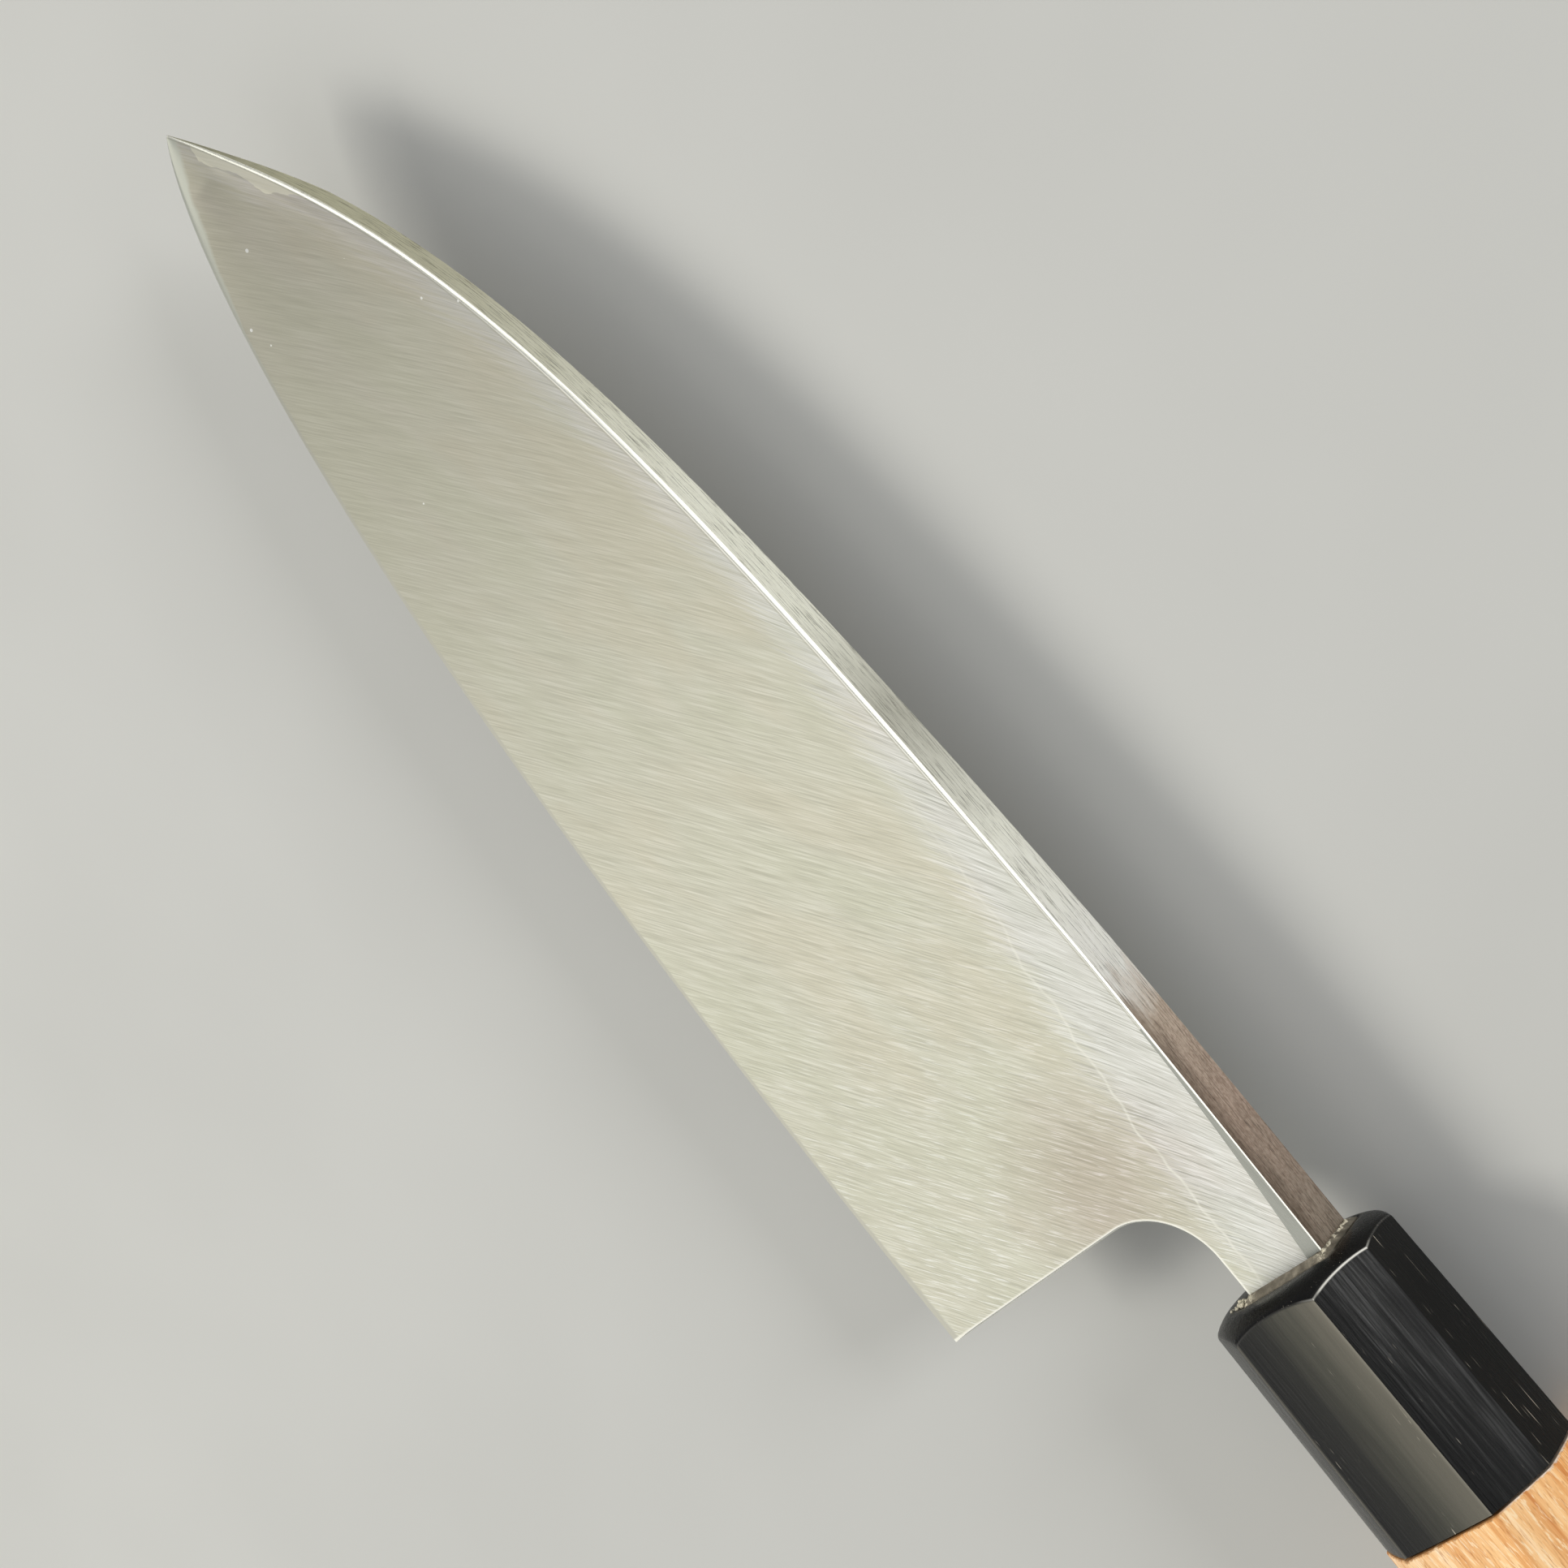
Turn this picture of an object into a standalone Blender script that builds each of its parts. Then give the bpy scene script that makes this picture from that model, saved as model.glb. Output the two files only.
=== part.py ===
"""Deba knife: a right-handed single-bevel blade in an octagonal two-piece handle.

The knife lies along X with its tip at -X, its spine towards +Y and its flat back up (+Z).
Sizes are in metres. Places are measured from the handle's axis (y = 0, z = 0) and from the
ferrule's front face (x = 0); the last step moves everything onto z = 0, centred in x and y.
"""

import math

import bpy
import numpy as np
from mathutils import Vector

# Blade seen from its flat back
BLADE_LENGTH = 0.1652
HEEL_TO_FERRULE = 0.0137
SPINE_ABOVE_AXIS = 0.0071
EDGE_BELOW_AXIS = 0.0419
TIP_BELOW_AXIS = 0.0186
SPINE_STRAIGHT = 0.0396
SPINE_FALL_AT_NECK = 0.00075
SPINE_FALL_POWER = 1.4
NECK_BELOW_AXIS = 0.0048
CHOIL_RADIUS = 0.0087
HEEL_LEAN = 0.0004

# Pull of each outline's curve, as shares of its run and its rise
SPINE_TIP_PULL = (0.196, 0.665)
SPINE_END_PULL = (0.665, 0.031)
EDGE_TIP_PULL = (0.016, 0.124)
EDGE_HEEL_PULL = (0.839, 0.017)

# Blade in section
BACK_ABOVE_AXIS = 0.0033
SPINE_THICKNESS_AT_NECK = 0.0072
SPINE_THICKNESS_AT_TIP = 0.0034
EDGE_LAND = 0.0001
BEVEL_HEIGHT = 0.0190
FACE_TAPER = 0.035
BEVEL_SWELL = 0.0001
SPINE_CORNER = 0.00035
HOLLOW_DEPTH = 0.00035
EDGE_RIM = 0.0005
SPINE_RIM = 0.0019
SPINE_RIM_AT_NECK = 0.0088
SPINE_FACET = 0.0004
SPINE_FACET_AT_NECK = 0.0016
SPINE_FACET_DROP = 0.00015
WIDENING_LENGTH = 0.0800
TIP_FINE_HEIGHT = 0.0090
TIP_RING_INSET = 0.0006

# Tang and neck inside the handle
NECK_INSERT = 0.0040
NECK_RELIEF = 0.0001
RELIEF_RUN = 0.0003
TANG_LENGTH = 0.1050
TANG_HEIGHT = (0.0080, 0.0050)
TANG_THICKNESS = (0.0042, 0.0024)

# Octagonal handle, sizes across its flats at the ferrule's face and at the butt
HANDLE_LENGTH = 0.1380
HANDLE_HEIGHT = (0.0232, 0.0264)
HANDLE_WIDTH = (0.01875, 0.0218)
CORNER_LEG = 0.00565
FERRULE_LENGTH = 0.0302
WOOD_PROUD = 0.0002
DOME_FLAT_RADIUS = 0.0067
DOME_OUTER_RADIUS = 0.0123
DOME_DEPTH = 0.0080
BUTT_ROUNDING = 0.0015

# Joint inside the handle
DOWEL_DIAMETER = 0.0146
DOWEL_LENGTH = 0.0550
BORE_SPARE = 0.0010
FERRULE_FRONT_WALL = 0.0070
SLOT_HEIGHT = 0.0114
SLOT_THICKNESS = 0.0066
TANG_HOLE_DIAMETER = 0.0104
TANG_HOLE_SPARE = 0.0050
SEAL_WALL = 0.0006
SEAL_PROUD = 0.0004
SEAL_DEPTH = 0.0030
SEAL_ROUNDING = 0.0003
GAP = 0.0003
SEAL_GAP = 0.00025

# Places that follow from the sizes
HEEL_X = -HEEL_TO_FERRULE
TIP_X = HEEL_X - BLADE_LENGTH
NECK_MIDDLE_Y = (SPINE_ABOVE_AXIS - SPINE_FALL_AT_NECK - NECK_BELOW_AXIS) / 2
NECK_MIDDLE_Z = BACK_ABOVE_AXIS - SPINE_THICKNESS_AT_NECK / 2
NECK_HEIGHT = SPINE_ABOVE_AXIS - SPINE_FALL_AT_NECK + NECK_BELOW_AXIS
RELIEF_X = -SEAL_PROUD - GAP
DOWEL_START = FERRULE_FRONT_WALL + GAP
DOWEL_END = DOWEL_START + DOWEL_LENGTH
BORE_DIAMETER = DOWEL_DIAMETER + 2 * GAP
BORE_END = DOWEL_END + GAP + BORE_SPARE
WOOD_START = FERRULE_LENGTH + GAP
TANG_HOLE_END = TANG_LENGTH + TANG_HOLE_SPARE

# Fineness of the meshes
BLADE_STATIONS = 60
STATION_CROWDING = 1.4
CURVE_POINTS = 400
HOLLOW_ROWS = 7
ROUND_SIDES = 48
CHOIL_STEPS = 12
DOME_RINGS = 12
BUTT_STEPS = 3
SHARP_ANGLE = math.radians(30)
CUT_MARGIN = 0.0100


def new_material(name, colour, metallic, roughness):
    """A plain material from linear colour, metallic value and roughness."""
    material = bpy.data.materials.new(name)
    material.use_nodes = True
    shader = material.node_tree.nodes["Principled BSDF"]
    shader.inputs["Base Color"].default_value = (*colour, 1.0)
    shader.inputs["Metallic"].default_value = metallic
    shader.inputs["Roughness"].default_value = roughness
    return material


def new_object(name, vertices, faces, material=None, smooth=False):
    """An object from points and faces; without a material it is a guide for cutting or joining."""
    mesh = bpy.data.meshes.new(name)
    mesh.from_pydata([tuple(map(float, point)) for point in vertices], [], faces)
    mesh.update()
    piece = bpy.data.objects.new(name, mesh)
    bpy.context.scene.collection.objects.link(piece)
    if material is None:
        piece.hide_render = True
        piece.display_type = "WIRE"
    else:
        mesh.materials.append(material)
    if smooth:
        mesh.shade_smooth()
        mesh.set_sharp_from_angle(angle=SHARP_ANGLE)
    return piece


def loft(rings):
    """Points and faces of a closed body through rings of equal size, capped at both ends.

    Every ring runs clockwise seen from -X, so that the faces point out.
    """
    count = len(rings[0])
    vertices = [point for ring in rings for point in ring]
    faces = [tuple(range(count))[::-1]]
    for ring in range(len(rings) - 1):
        low, high = ring * count, (ring + 1) * count
        for i in range(count):
            j = (i + 1) % count
            faces.append((low + i, low + j, high + j, high + i))
    last = (len(rings) - 1) * count
    faces.append(tuple(range(last, last + count)))
    return vertices, faces


def box_ring(x, height, thickness, middle_y, middle_z):
    """Four corners of a rectangle square to the handle's axis."""
    h, t = height / 2, thickness / 2
    corners = ((-h, -t), (h, -t), (h, t), (-h, t))
    return [(x, middle_y + y, middle_z + z) for y, z in corners]


def octagon_ring(x, half_height, half_width, leg, inset=0.0):
    """Eight corners of the handle's section, drawn in by an inset square to every side."""
    a, b = half_height - inset, half_width - inset
    c = leg - (2 - math.sqrt(2)) * inset
    corners = ((-(a - c), -b), (a - c, -b), (a, -(b - c)), (a, b - c),
               (a - c, b), (-(a - c), b), (-a, b - c), (-a, -(b - c)))
    return [(x, y, z) for y, z in corners]


def turned(profile, stretch=1.0):
    """A body turned round the handle's axis from (x, radius) pairs, stretched in height."""
    angles = [2 * math.pi * i / ROUND_SIDES for i in range(ROUND_SIDES)]
    rings = []
    for x, radius in profile:
        rings.append([(x, stretch * radius * math.cos(a), radius * math.sin(a)) for a in angles])
    return loft(rings)


def boolean(piece, tool, operation):
    """Cuts, joins or keeps the shared part of a piece with a guide."""
    modifier = piece.modifiers.new(tool.name, "BOOLEAN")
    modifier.operation = operation
    modifier.solver = "EXACT"
    modifier.object = tool


def smooth_step(value):
    """Goes from 0 to 1 with level ends as the value goes from 0 to 1."""
    t = np.clip(value, 0.0, 1.0)
    return t * t * (3 - 2 * t)


def outline_curve(start, end, start_pull, end_pull):
    """Points of a cubic curve; the pulls are its handles as shares of the run and the rise."""
    start, end = np.array(start), np.array(end)
    reach = end - start
    first = start + reach * np.array(start_pull)
    second = end - reach * np.array(end_pull)
    t = np.linspace(0.0, 1.0, CURVE_POINTS)[:, None]
    return ((1 - t) ** 3 * start + 3 * (1 - t) ** 2 * t * first
            + 3 * (1 - t) * t ** 2 * second + t ** 3 * end)


def spine_height(x):
    """Height of the spine over the axis: a curve from the tip, then a gentle fall to the neck."""
    curve = outline_curve((TIP_X, -TIP_BELOW_AXIS), (-SPINE_STRAIGHT, SPINE_ABOVE_AXIS),
                          SPINE_TIP_PULL, SPINE_END_PULL)
    fall = SPINE_FALL_AT_NECK * np.clip(1 + x / SPINE_STRAIGHT, 0.0, 1.0) ** SPINE_FALL_POWER
    return np.interp(x, curve[:, 0], curve[:, 1]) - fall


def edge_height(x):
    """Height of the cutting edge over the axis, level past the heel."""
    curve = outline_curve((TIP_X, -TIP_BELOW_AXIS), (HEEL_X, -EDGE_BELOW_AXIS),
                          EDGE_TIP_PULL, EDGE_HEEL_PULL)
    return np.interp(x, curve[:, 0], curve[:, 1])


def towards_neck(x):
    """0 on the front of the blade, rising smoothly to 1 at the heel."""
    return smooth_step(1 - (HEEL_X - x) / WIDENING_LENGTH)


def blade_thickness(x, y):
    """Thickness from the flat back to the front: a tapered face above, the bevel below."""
    spine, edge = spine_height(x), edge_height(x)
    to_tip = np.clip(x / TIP_X, 0.0, 1.0)
    at_spine = SPINE_THICKNESS_AT_NECK + (SPINE_THICKNESS_AT_TIP - SPINE_THICKNESS_AT_NECK) * to_tip
    face = at_spine - FACE_TAPER * (spine - y)
    at_ridge = at_spine - FACE_TAPER * np.maximum(spine - edge - BEVEL_HEIGHT, 0.0)
    share = (y - edge) / BEVEL_HEIGHT
    bevel = EDGE_LAND + (at_ridge - EDGE_LAND) * share + 4 * BEVEL_SWELL * share * (1 - share)
    return np.where(share < 1, np.minimum(face, bevel), face)


def blade_rings():
    """Sections of the blade and its neck, each a loop up the front and down the back."""
    run = np.linspace(0.0, 1.0, BLADE_STATIONS) ** STATION_CROWDING
    x = TIP_X + TIP_RING_INSET + (RELIEF_X - TIP_X - TIP_RING_INSET) * run
    x = np.append(x, (RELIEF_X + RELIEF_RUN, NECK_INSERT))
    spine, edge = spine_height(x), edge_height(x)
    fine = np.clip((spine - edge) / TIP_FINE_HEIGHT, 0.0, 1.0)
    back = BACK_ABOVE_AXIS - np.where(x > RELIEF_X, NECK_RELIEF, 0.0)
    widening = towards_neck(x)
    corner = SPINE_CORNER * fine
    rim_top = spine - corner - (SPINE_FACET + (SPINE_FACET_AT_NECK - SPINE_FACET) * widening) * fine
    hollow_top = spine - (SPINE_RIM + (SPINE_RIM_AT_NECK - SPINE_RIM) * widening) * fine
    hollow_low = edge + EDGE_RIM * fine
    rows = [(edge, back), (hollow_low, back)]
    for row in range(1, HOLLOW_ROWS + 1):
        across = row / (HOLLOW_ROWS + 1)
        y = hollow_low + (hollow_top - hollow_low) * across
        rows.append((y, back - HOLLOW_DEPTH * fine * 4 * across * (1 - across)))
    rows += [(hollow_top, back), (rim_top, back)]
    corner_z = back - SPINE_FACET_DROP * widening
    rows += [(spine - corner, corner_z), (spine, corner_z - corner)]
    rows.append((spine, BACK_ABOVE_AXIS - blade_thickness(x, spine) + corner))
    ridge = np.minimum(edge + BEVEL_HEIGHT, spine - 2 * corner)
    for y in (spine - corner, ridge, (ridge + edge) / 2, edge):
        rows.append((y, BACK_ABOVE_AXIS - blade_thickness(x, y)))
    rings = [[(x[i], y[i], z[i]) for y, z in rows[::-1]] for i in range(len(x))]
    return rings


def blade_body():
    """The forged blade and neck, still full height behind the heel, closed to a point at the tip."""
    rings = blade_rings()
    vertices, faces = loft(rings)
    count = len(rings[0])
    apex = len(vertices)
    vertices.append((TIP_X, -TIP_BELOW_AXIS, BACK_ABOVE_AXIS - EDGE_LAND))
    faces = faces[1:] + [(i, apex, (i + 1) % count) for i in range(count)]
    return vertices, faces


def choil_cut():
    """What is ground away behind the heel: a nearly upright heel, a round arch and a level neck."""
    bottom = -EDGE_BELOW_AXIS - CUT_MARGIN
    centre_x = HEEL_X - HEEL_LEAN + CHOIL_RADIUS
    centre_y = -NECK_BELOW_AXIS - CHOIL_RADIUS
    lean_per_metre = HEEL_LEAN / (EDGE_BELOW_AXIS + centre_y)
    outline = [(HEEL_X + lean_per_metre * CUT_MARGIN, bottom)]
    for step in range(CHOIL_STEPS + 1):
        angle = math.pi - math.pi / 2 * step / CHOIL_STEPS
        outline.append((centre_x + CHOIL_RADIUS * math.cos(angle),
                        centre_y + CHOIL_RADIUS * math.sin(angle)))
    outline.append((NECK_INSERT + CUT_MARGIN, -NECK_BELOW_AXIS))
    outline.append((NECK_INSERT + CUT_MARGIN, bottom))
    count = len(outline)
    vertices = [(x, y, z) for z in (-CUT_MARGIN, CUT_MARGIN) for x, y in outline]
    faces = [tuple(range(count)), tuple(range(count, 2 * count))[::-1]]
    for i in range(count):
        j = (i + 1) % count
        faces.append((i, i + count, j + count, j))
    return vertices, faces


def tang_body(growth):
    """The tapered tang, grown on every side by the growth; its root reaches into the neck."""
    start = NECK_INSERT / 2
    rings = []
    for x, share, extra in ((start, 0.0, 0.0), (TANG_LENGTH, 1.0, growth)):
        height = TANG_HEIGHT[0] + (TANG_HEIGHT[1] - TANG_HEIGHT[0]) * share
        thickness = TANG_THICKNESS[0] + (TANG_THICKNESS[1] - TANG_THICKNESS[0]) * share
        rings.append(box_ring(x + extra, height + 2 * growth, thickness + 2 * growth,
                              NECK_MIDDLE_Y * (1 - share), NECK_MIDDLE_Z * (1 - share)))
    return loft(rings)


def make_blade(material):
    """Blade, neck and tang are one forging."""
    blade = new_object("blade", *blade_body(), material)
    boolean(blade, new_object("choil_cut", *choil_cut()), "DIFFERENCE")
    boolean(blade, new_object("tang_root", *tang_body(0.0)), "UNION")
    return blade


def handle_ring(x, proud, inset=0.0):
    """The handle's section at x, standing proud of its plain size."""
    share = x / HANDLE_LENGTH
    height = HANDLE_HEIGHT[0] + (HANDLE_HEIGHT[1] - HANDLE_HEIGHT[0]) * share
    width = HANDLE_WIDTH[0] + (HANDLE_WIDTH[1] - HANDLE_WIDTH[0]) * share
    return octagon_ring(x, height / 2, width / 2, CORNER_LEG, inset - proud)


def slot_ring(x, wall):
    """The mouth's section at x: the neck's rectangle grown by a wall."""
    return box_ring(x, NECK_HEIGHT + 2 * wall, SPINE_THICKNESS_AT_NECK + 2 * wall,
                    NECK_MIDDLE_Y, NECK_MIDDLE_Z)


def dome_body():
    """An oval blank in the handle's proportions whose rounded front end trims the ferrule."""
    profile = []
    for ring in range(DOME_RINGS + 1):
        angle = math.pi / 2 * ring / DOME_RINGS
        radius = DOME_FLAT_RADIUS + (DOME_OUTER_RADIUS - DOME_FLAT_RADIUS) * math.sin(angle)
        profile.append((DOME_DEPTH * (1 - math.cos(angle)), radius))
    profile.append((FERRULE_LENGTH + CUT_MARGIN, DOME_OUTER_RADIUS))
    return turned(profile, HANDLE_HEIGHT[0] / HANDLE_WIDTH[0])


def make_ferrule(material):
    """Octagonal front piece, rounded in front, slotted for the neck and bored for the dowel."""
    ferrule = new_object("ferrule", *loft([handle_ring(-GAP, 0.0), handle_ring(FERRULE_LENGTH, 0.0)]),
                         material)
    boolean(ferrule, new_object("ferrule_dome", *dome_body()), "INTERSECT")
    bore = turned([(FERRULE_FRONT_WALL, BORE_DIAMETER / 2),
                   (FERRULE_LENGTH + CUT_MARGIN, BORE_DIAMETER / 2)])
    boolean(ferrule, new_object("ferrule_bore", *bore), "DIFFERENCE")
    mouth = SEAL_WALL + 2 * SEAL_GAP
    slot = loft([slot_ring(-CUT_MARGIN, mouth), slot_ring(FERRULE_FRONT_WALL + GAP, mouth)])
    boolean(ferrule, new_object("ferrule_slot", *slot), "DIFFERENCE")
    return ferrule


def make_handle_body(material):
    """The wooden grip with its dowel bore, its tang hole and a rounded butt."""
    rings = [handle_ring(WOOD_START, WOOD_PROUD)]
    for step in range(BUTT_STEPS + 1):
        angle = math.pi / 2 * step / BUTT_STEPS
        x = HANDLE_LENGTH - BUTT_ROUNDING * (1 - math.sin(angle))
        rings.append(handle_ring(x, WOOD_PROUD, BUTT_ROUNDING * (1 - math.cos(angle))))
    body = new_object("handle_body", *loft(rings), material)
    bore = turned([(WOOD_START - CUT_MARGIN, BORE_DIAMETER / 2), (BORE_END, BORE_DIAMETER / 2)])
    boolean(body, new_object("handle_bore", *bore), "DIFFERENCE")
    hole = turned([(DOWEL_END - CUT_MARGIN, TANG_HOLE_DIAMETER / 2),
                   (TANG_HOLE_END, TANG_HOLE_DIAMETER / 2)])
    boolean(body, new_object("tang_hole", *hole), "DIFFERENCE")
    return body


def make_dowel(material):
    """The round pin that joins ferrule and grip, slotted from end to end for the tang."""
    dowel = new_object("dowel", *turned([(DOWEL_START, DOWEL_DIAMETER / 2),
                                         (DOWEL_END, DOWEL_DIAMETER / 2)]), material, smooth=True)
    slot = loft([box_ring(DOWEL_START - CUT_MARGIN, SLOT_HEIGHT, SLOT_THICKNESS, 0.0, 0.0),
                 box_ring(DOWEL_END + CUT_MARGIN, SLOT_HEIGHT, SLOT_THICKNESS, 0.0, 0.0)])
    boolean(dowel, new_object("dowel_slot", *slot), "DIFFERENCE")
    return dowel


def make_tang_bedding(material):
    """Hardened resin round the tang: a flat sleeve in the dowel and a round plug in the grip."""
    sleeve = loft([box_ring(x, SLOT_HEIGHT - 2 * GAP, SLOT_THICKNESS - 2 * GAP, 0.0, 0.0)
                   for x in (DOWEL_START, BORE_END - GAP)])
    bedding = new_object("tang_bedding", *sleeve, material)
    plug = turned([(DOWEL_END + GAP, TANG_HOLE_DIAMETER / 2 - GAP),
                   (TANG_HOLE_END - GAP, TANG_HOLE_DIAMETER / 2 - GAP)])
    boolean(bedding, new_object("bedding_plug", *plug), "UNION")
    boolean(bedding, new_object("bedding_hollow", *tang_body(GAP)), "DIFFERENCE")
    return bedding


def make_neck_seal(material):
    """The filler round the neck: a collar in the ferrule's mouth that stands a little proud."""
    wall = SEAL_WALL + SEAL_GAP
    rings = [slot_ring(-SEAL_PROUD, wall - SEAL_ROUNDING), slot_ring(-SEAL_PROUD + SEAL_ROUNDING, wall),
             slot_ring(SEAL_DEPTH, wall)]
    seal = new_object("neck_seal", *loft(rings), material)
    hollow = loft([slot_ring(-CUT_MARGIN, SEAL_GAP), slot_ring(CUT_MARGIN, SEAL_GAP)])
    boolean(seal, new_object("seal_hollow", *hollow), "DIFFERENCE")
    return seal


def stand_on_ground(pieces):
    """Hangs everything on an empty that centres the knife in x and y and rests it on z = 0."""
    bpy.context.view_layer.update()
    graph = bpy.context.evaluated_depsgraph_get()
    points = []
    for piece in pieces:
        shape = piece.evaluated_get(graph).to_mesh()
        points += [vertex.co.copy() for vertex in shape.vertices]
    low = Vector([min(point[k] for point in points) for k in range(3)])
    high = Vector([max(point[k] for point in points) for k in range(3)])
    knife = bpy.data.objects.new("knife", None)
    knife.location = (-(low.x + high.x) / 2, -(low.y + high.y) / 2, -low.z)
    for item in list(bpy.context.scene.collection.objects):
        item.parent = knife
    bpy.context.scene.collection.objects.link(knife)
    bpy.context.view_layer.update()


def main():
    for item in list(bpy.data.objects):
        bpy.data.objects.remove(item, do_unlink=True)
    steel = new_material("satin_steel", (0.52, 0.50, 0.44), 1.0, 0.35)
    black_wood = new_material("black_wood", (0.010, 0.010, 0.011), 0.0, 0.30)
    grip_wood = new_material("grip_wood", (0.56, 0.31, 0.14), 0.0, 0.50)
    dowel_wood = new_material("dowel_wood", (0.62, 0.45, 0.26), 0.0, 0.60)
    resin = new_material("bedding_resin", (0.40, 0.32, 0.20), 0.0, 0.45)
    filler = new_material("neck_filler", (0.30, 0.26, 0.19), 0.0, 0.60)
    stand_on_ground([
        make_blade(steel),
        make_ferrule(black_wood),
        make_handle_body(grip_wood),
        make_dowel(dowel_wood),
        make_tang_bedding(resin),
        make_neck_seal(filler),
    ])


main()
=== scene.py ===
import functools
import math

import bmesh
import bpy
import numpy as np
from mathutils import Matrix, Vector


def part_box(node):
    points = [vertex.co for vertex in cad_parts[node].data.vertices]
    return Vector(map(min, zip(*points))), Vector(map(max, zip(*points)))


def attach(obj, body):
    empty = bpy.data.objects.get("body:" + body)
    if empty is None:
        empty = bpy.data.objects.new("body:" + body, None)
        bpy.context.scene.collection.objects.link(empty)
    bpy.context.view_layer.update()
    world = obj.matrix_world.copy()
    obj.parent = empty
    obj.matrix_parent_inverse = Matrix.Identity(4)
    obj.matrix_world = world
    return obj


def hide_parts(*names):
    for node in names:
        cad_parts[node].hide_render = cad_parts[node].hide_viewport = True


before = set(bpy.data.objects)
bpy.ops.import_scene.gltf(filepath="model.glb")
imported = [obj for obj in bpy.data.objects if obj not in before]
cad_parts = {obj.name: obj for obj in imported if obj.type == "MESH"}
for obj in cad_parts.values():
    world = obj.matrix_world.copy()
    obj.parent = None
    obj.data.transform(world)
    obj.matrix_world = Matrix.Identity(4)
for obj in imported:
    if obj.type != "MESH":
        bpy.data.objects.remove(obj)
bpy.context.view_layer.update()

# A deba knife on its side with its flat back up. Lengths are in millimetres from here on.
# Places are measured from the handle's axis and from the ferrule's front face, as in the CAD:
# x runs to the butt, y from the edge to the spine and z out of the flat back.
MM = 0.001
front_low, front_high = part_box("ferrule")
AXIS = np.array((front_low.x, (front_low.y + front_high.y) / 2, (front_low.z + front_high.z) / 2))

# The blade's outline and section, as in the CAD
BLADE_LENGTH = 165.2
HEEL_X = -13.7
TIP_X = HEEL_X - BLADE_LENGTH
SPINE_Y = 7.1
EDGE_Y = -41.9
TIP_Y = -18.6
SPINE_STRAIGHT = 39.6
SPINE_FALL = 0.75
NECK_Y = -4.8
CHOIL_RADIUS = 8.7
HEEL_LEAN = 0.4
BACK_Z = 3.3
SPINE_THICKNESS = (7.2, 3.4)
EDGE_LAND = 0.1
BEVEL_HEIGHT = 19.0
FACE_TAPER = 0.035
BEVEL_SWELL = 0.1
SPINE_CORNER = 0.35
HOLLOW_DEPTH = 0.35
EDGE_RIM = 0.5
SPINE_RIM = (1.9, 8.8)
SPINE_FACET = (0.25, 1.9)
SPINE_FACET_DROP = 0.15
SPINE_FACET_LENGTH = 30.0
WIDENING_LENGTH = 80.0
TIP_FINE_HEIGHT = 9.0
NECK_INSERT = 4.0
TANG_LENGTH = 105.0
TANG_HEIGHT = (8.0, 5.0)
TANG_THICKNESS = (4.2, 2.4)
WALL_CORNER = 0.28

# The handle, as in the CAD
HANDLE_LENGTH = 138.0
HANDLE_HEIGHT = (23.2, 26.4)
HANDLE_WIDTH = (18.75, 21.8)
CORNER_LEG = 5.65
FERRULE_LENGTH = 30.2
WOOD_START = 30.5
WOOD_PROUD = 0.2
BUTT_ROUNDING = 1.5
DOME_FLAT_RADIUS = 6.7
DOME_OUTER_RADIUS = 12.3
DOME_DEPTH = 8.0
FRONT_WALL = 7.0
BORE_RADIUS = 7.6
BORE_END = 63.6
TANG_HOLE_RADIUS = 5.2
TANG_HOLE_END = 110.0
MOUTH_WALL = 1.1
RIM_DROP = 0.25
NECK_MIDDLE = ((SPINE_Y - SPINE_FALL + NECK_Y) / 2, BACK_Z - SPINE_THICKNESS[0] / 2)
NECK_HALF = ((SPINE_Y - SPINE_FALL - NECK_Y) / 2, SPINE_THICKNESS[0] / 2)

# Millimetres that the grain map's unit stands for
GRAIN_SPAN = 200.0

# Seen from the eye at 300 mm: the picture's right and up directions and the lens for a 36 mm sensor
EYE = (-52.82, 177.29, 243.53)
VIEW_RIGHT = (0.634264, 0.580975, -0.510076)
VIEW_UP = (-0.769641, 0.536972, -0.345417)
LENS = 63.35


def linear(colour):
    """Linear red, green, blue and full opacity of an sRGB hex colour."""
    values = [int(colour[i:i + 2], 16) / 255 for i in (0, 2, 4)]
    return [*(v / 12.92 if v <= 0.04045 else ((v + 0.055) / 1.055) ** 2.4 for v in values), 1.0]


def add_node(tree, kind, *values, stops=(), named=None, **settings):
    """Adds a shader node with its settings and gives values to the inputs that it shows, in their order.

    A value is a number, a vector, an sRGB hex colour, a socket, or a node for its first shown output.
    Named gives values by an input's name.
    """
    node = tree.nodes.new("ShaderNode" + kind)
    for key, value in settings.items():
        setattr(node, key, value)
    shown = [s for s in node.inputs if s.enabled]
    by_name = {s.name: s for s in shown}
    others = [(by_name[key], value) for key, value in (named or {}).items()]
    for socket, value in [*zip(shown, values), *others]:
        if isinstance(value, bpy.types.Node):
            value = next(s for s in value.outputs if s.enabled)
        if isinstance(value, bpy.types.NodeSocket):
            tree.links.new(value, socket)
        else:
            socket.default_value = linear(value) if isinstance(value, str) else value
    for number, (position, colour) in enumerate(dict(stops).items()):
        marks = node.color_ramp.elements
        mark = marks[number] if number < 1 else marks[-1] if number == len(stops) - 1 else marks.new(position)
        mark.position, mark.color = position, linear(colour)
    return node


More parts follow.
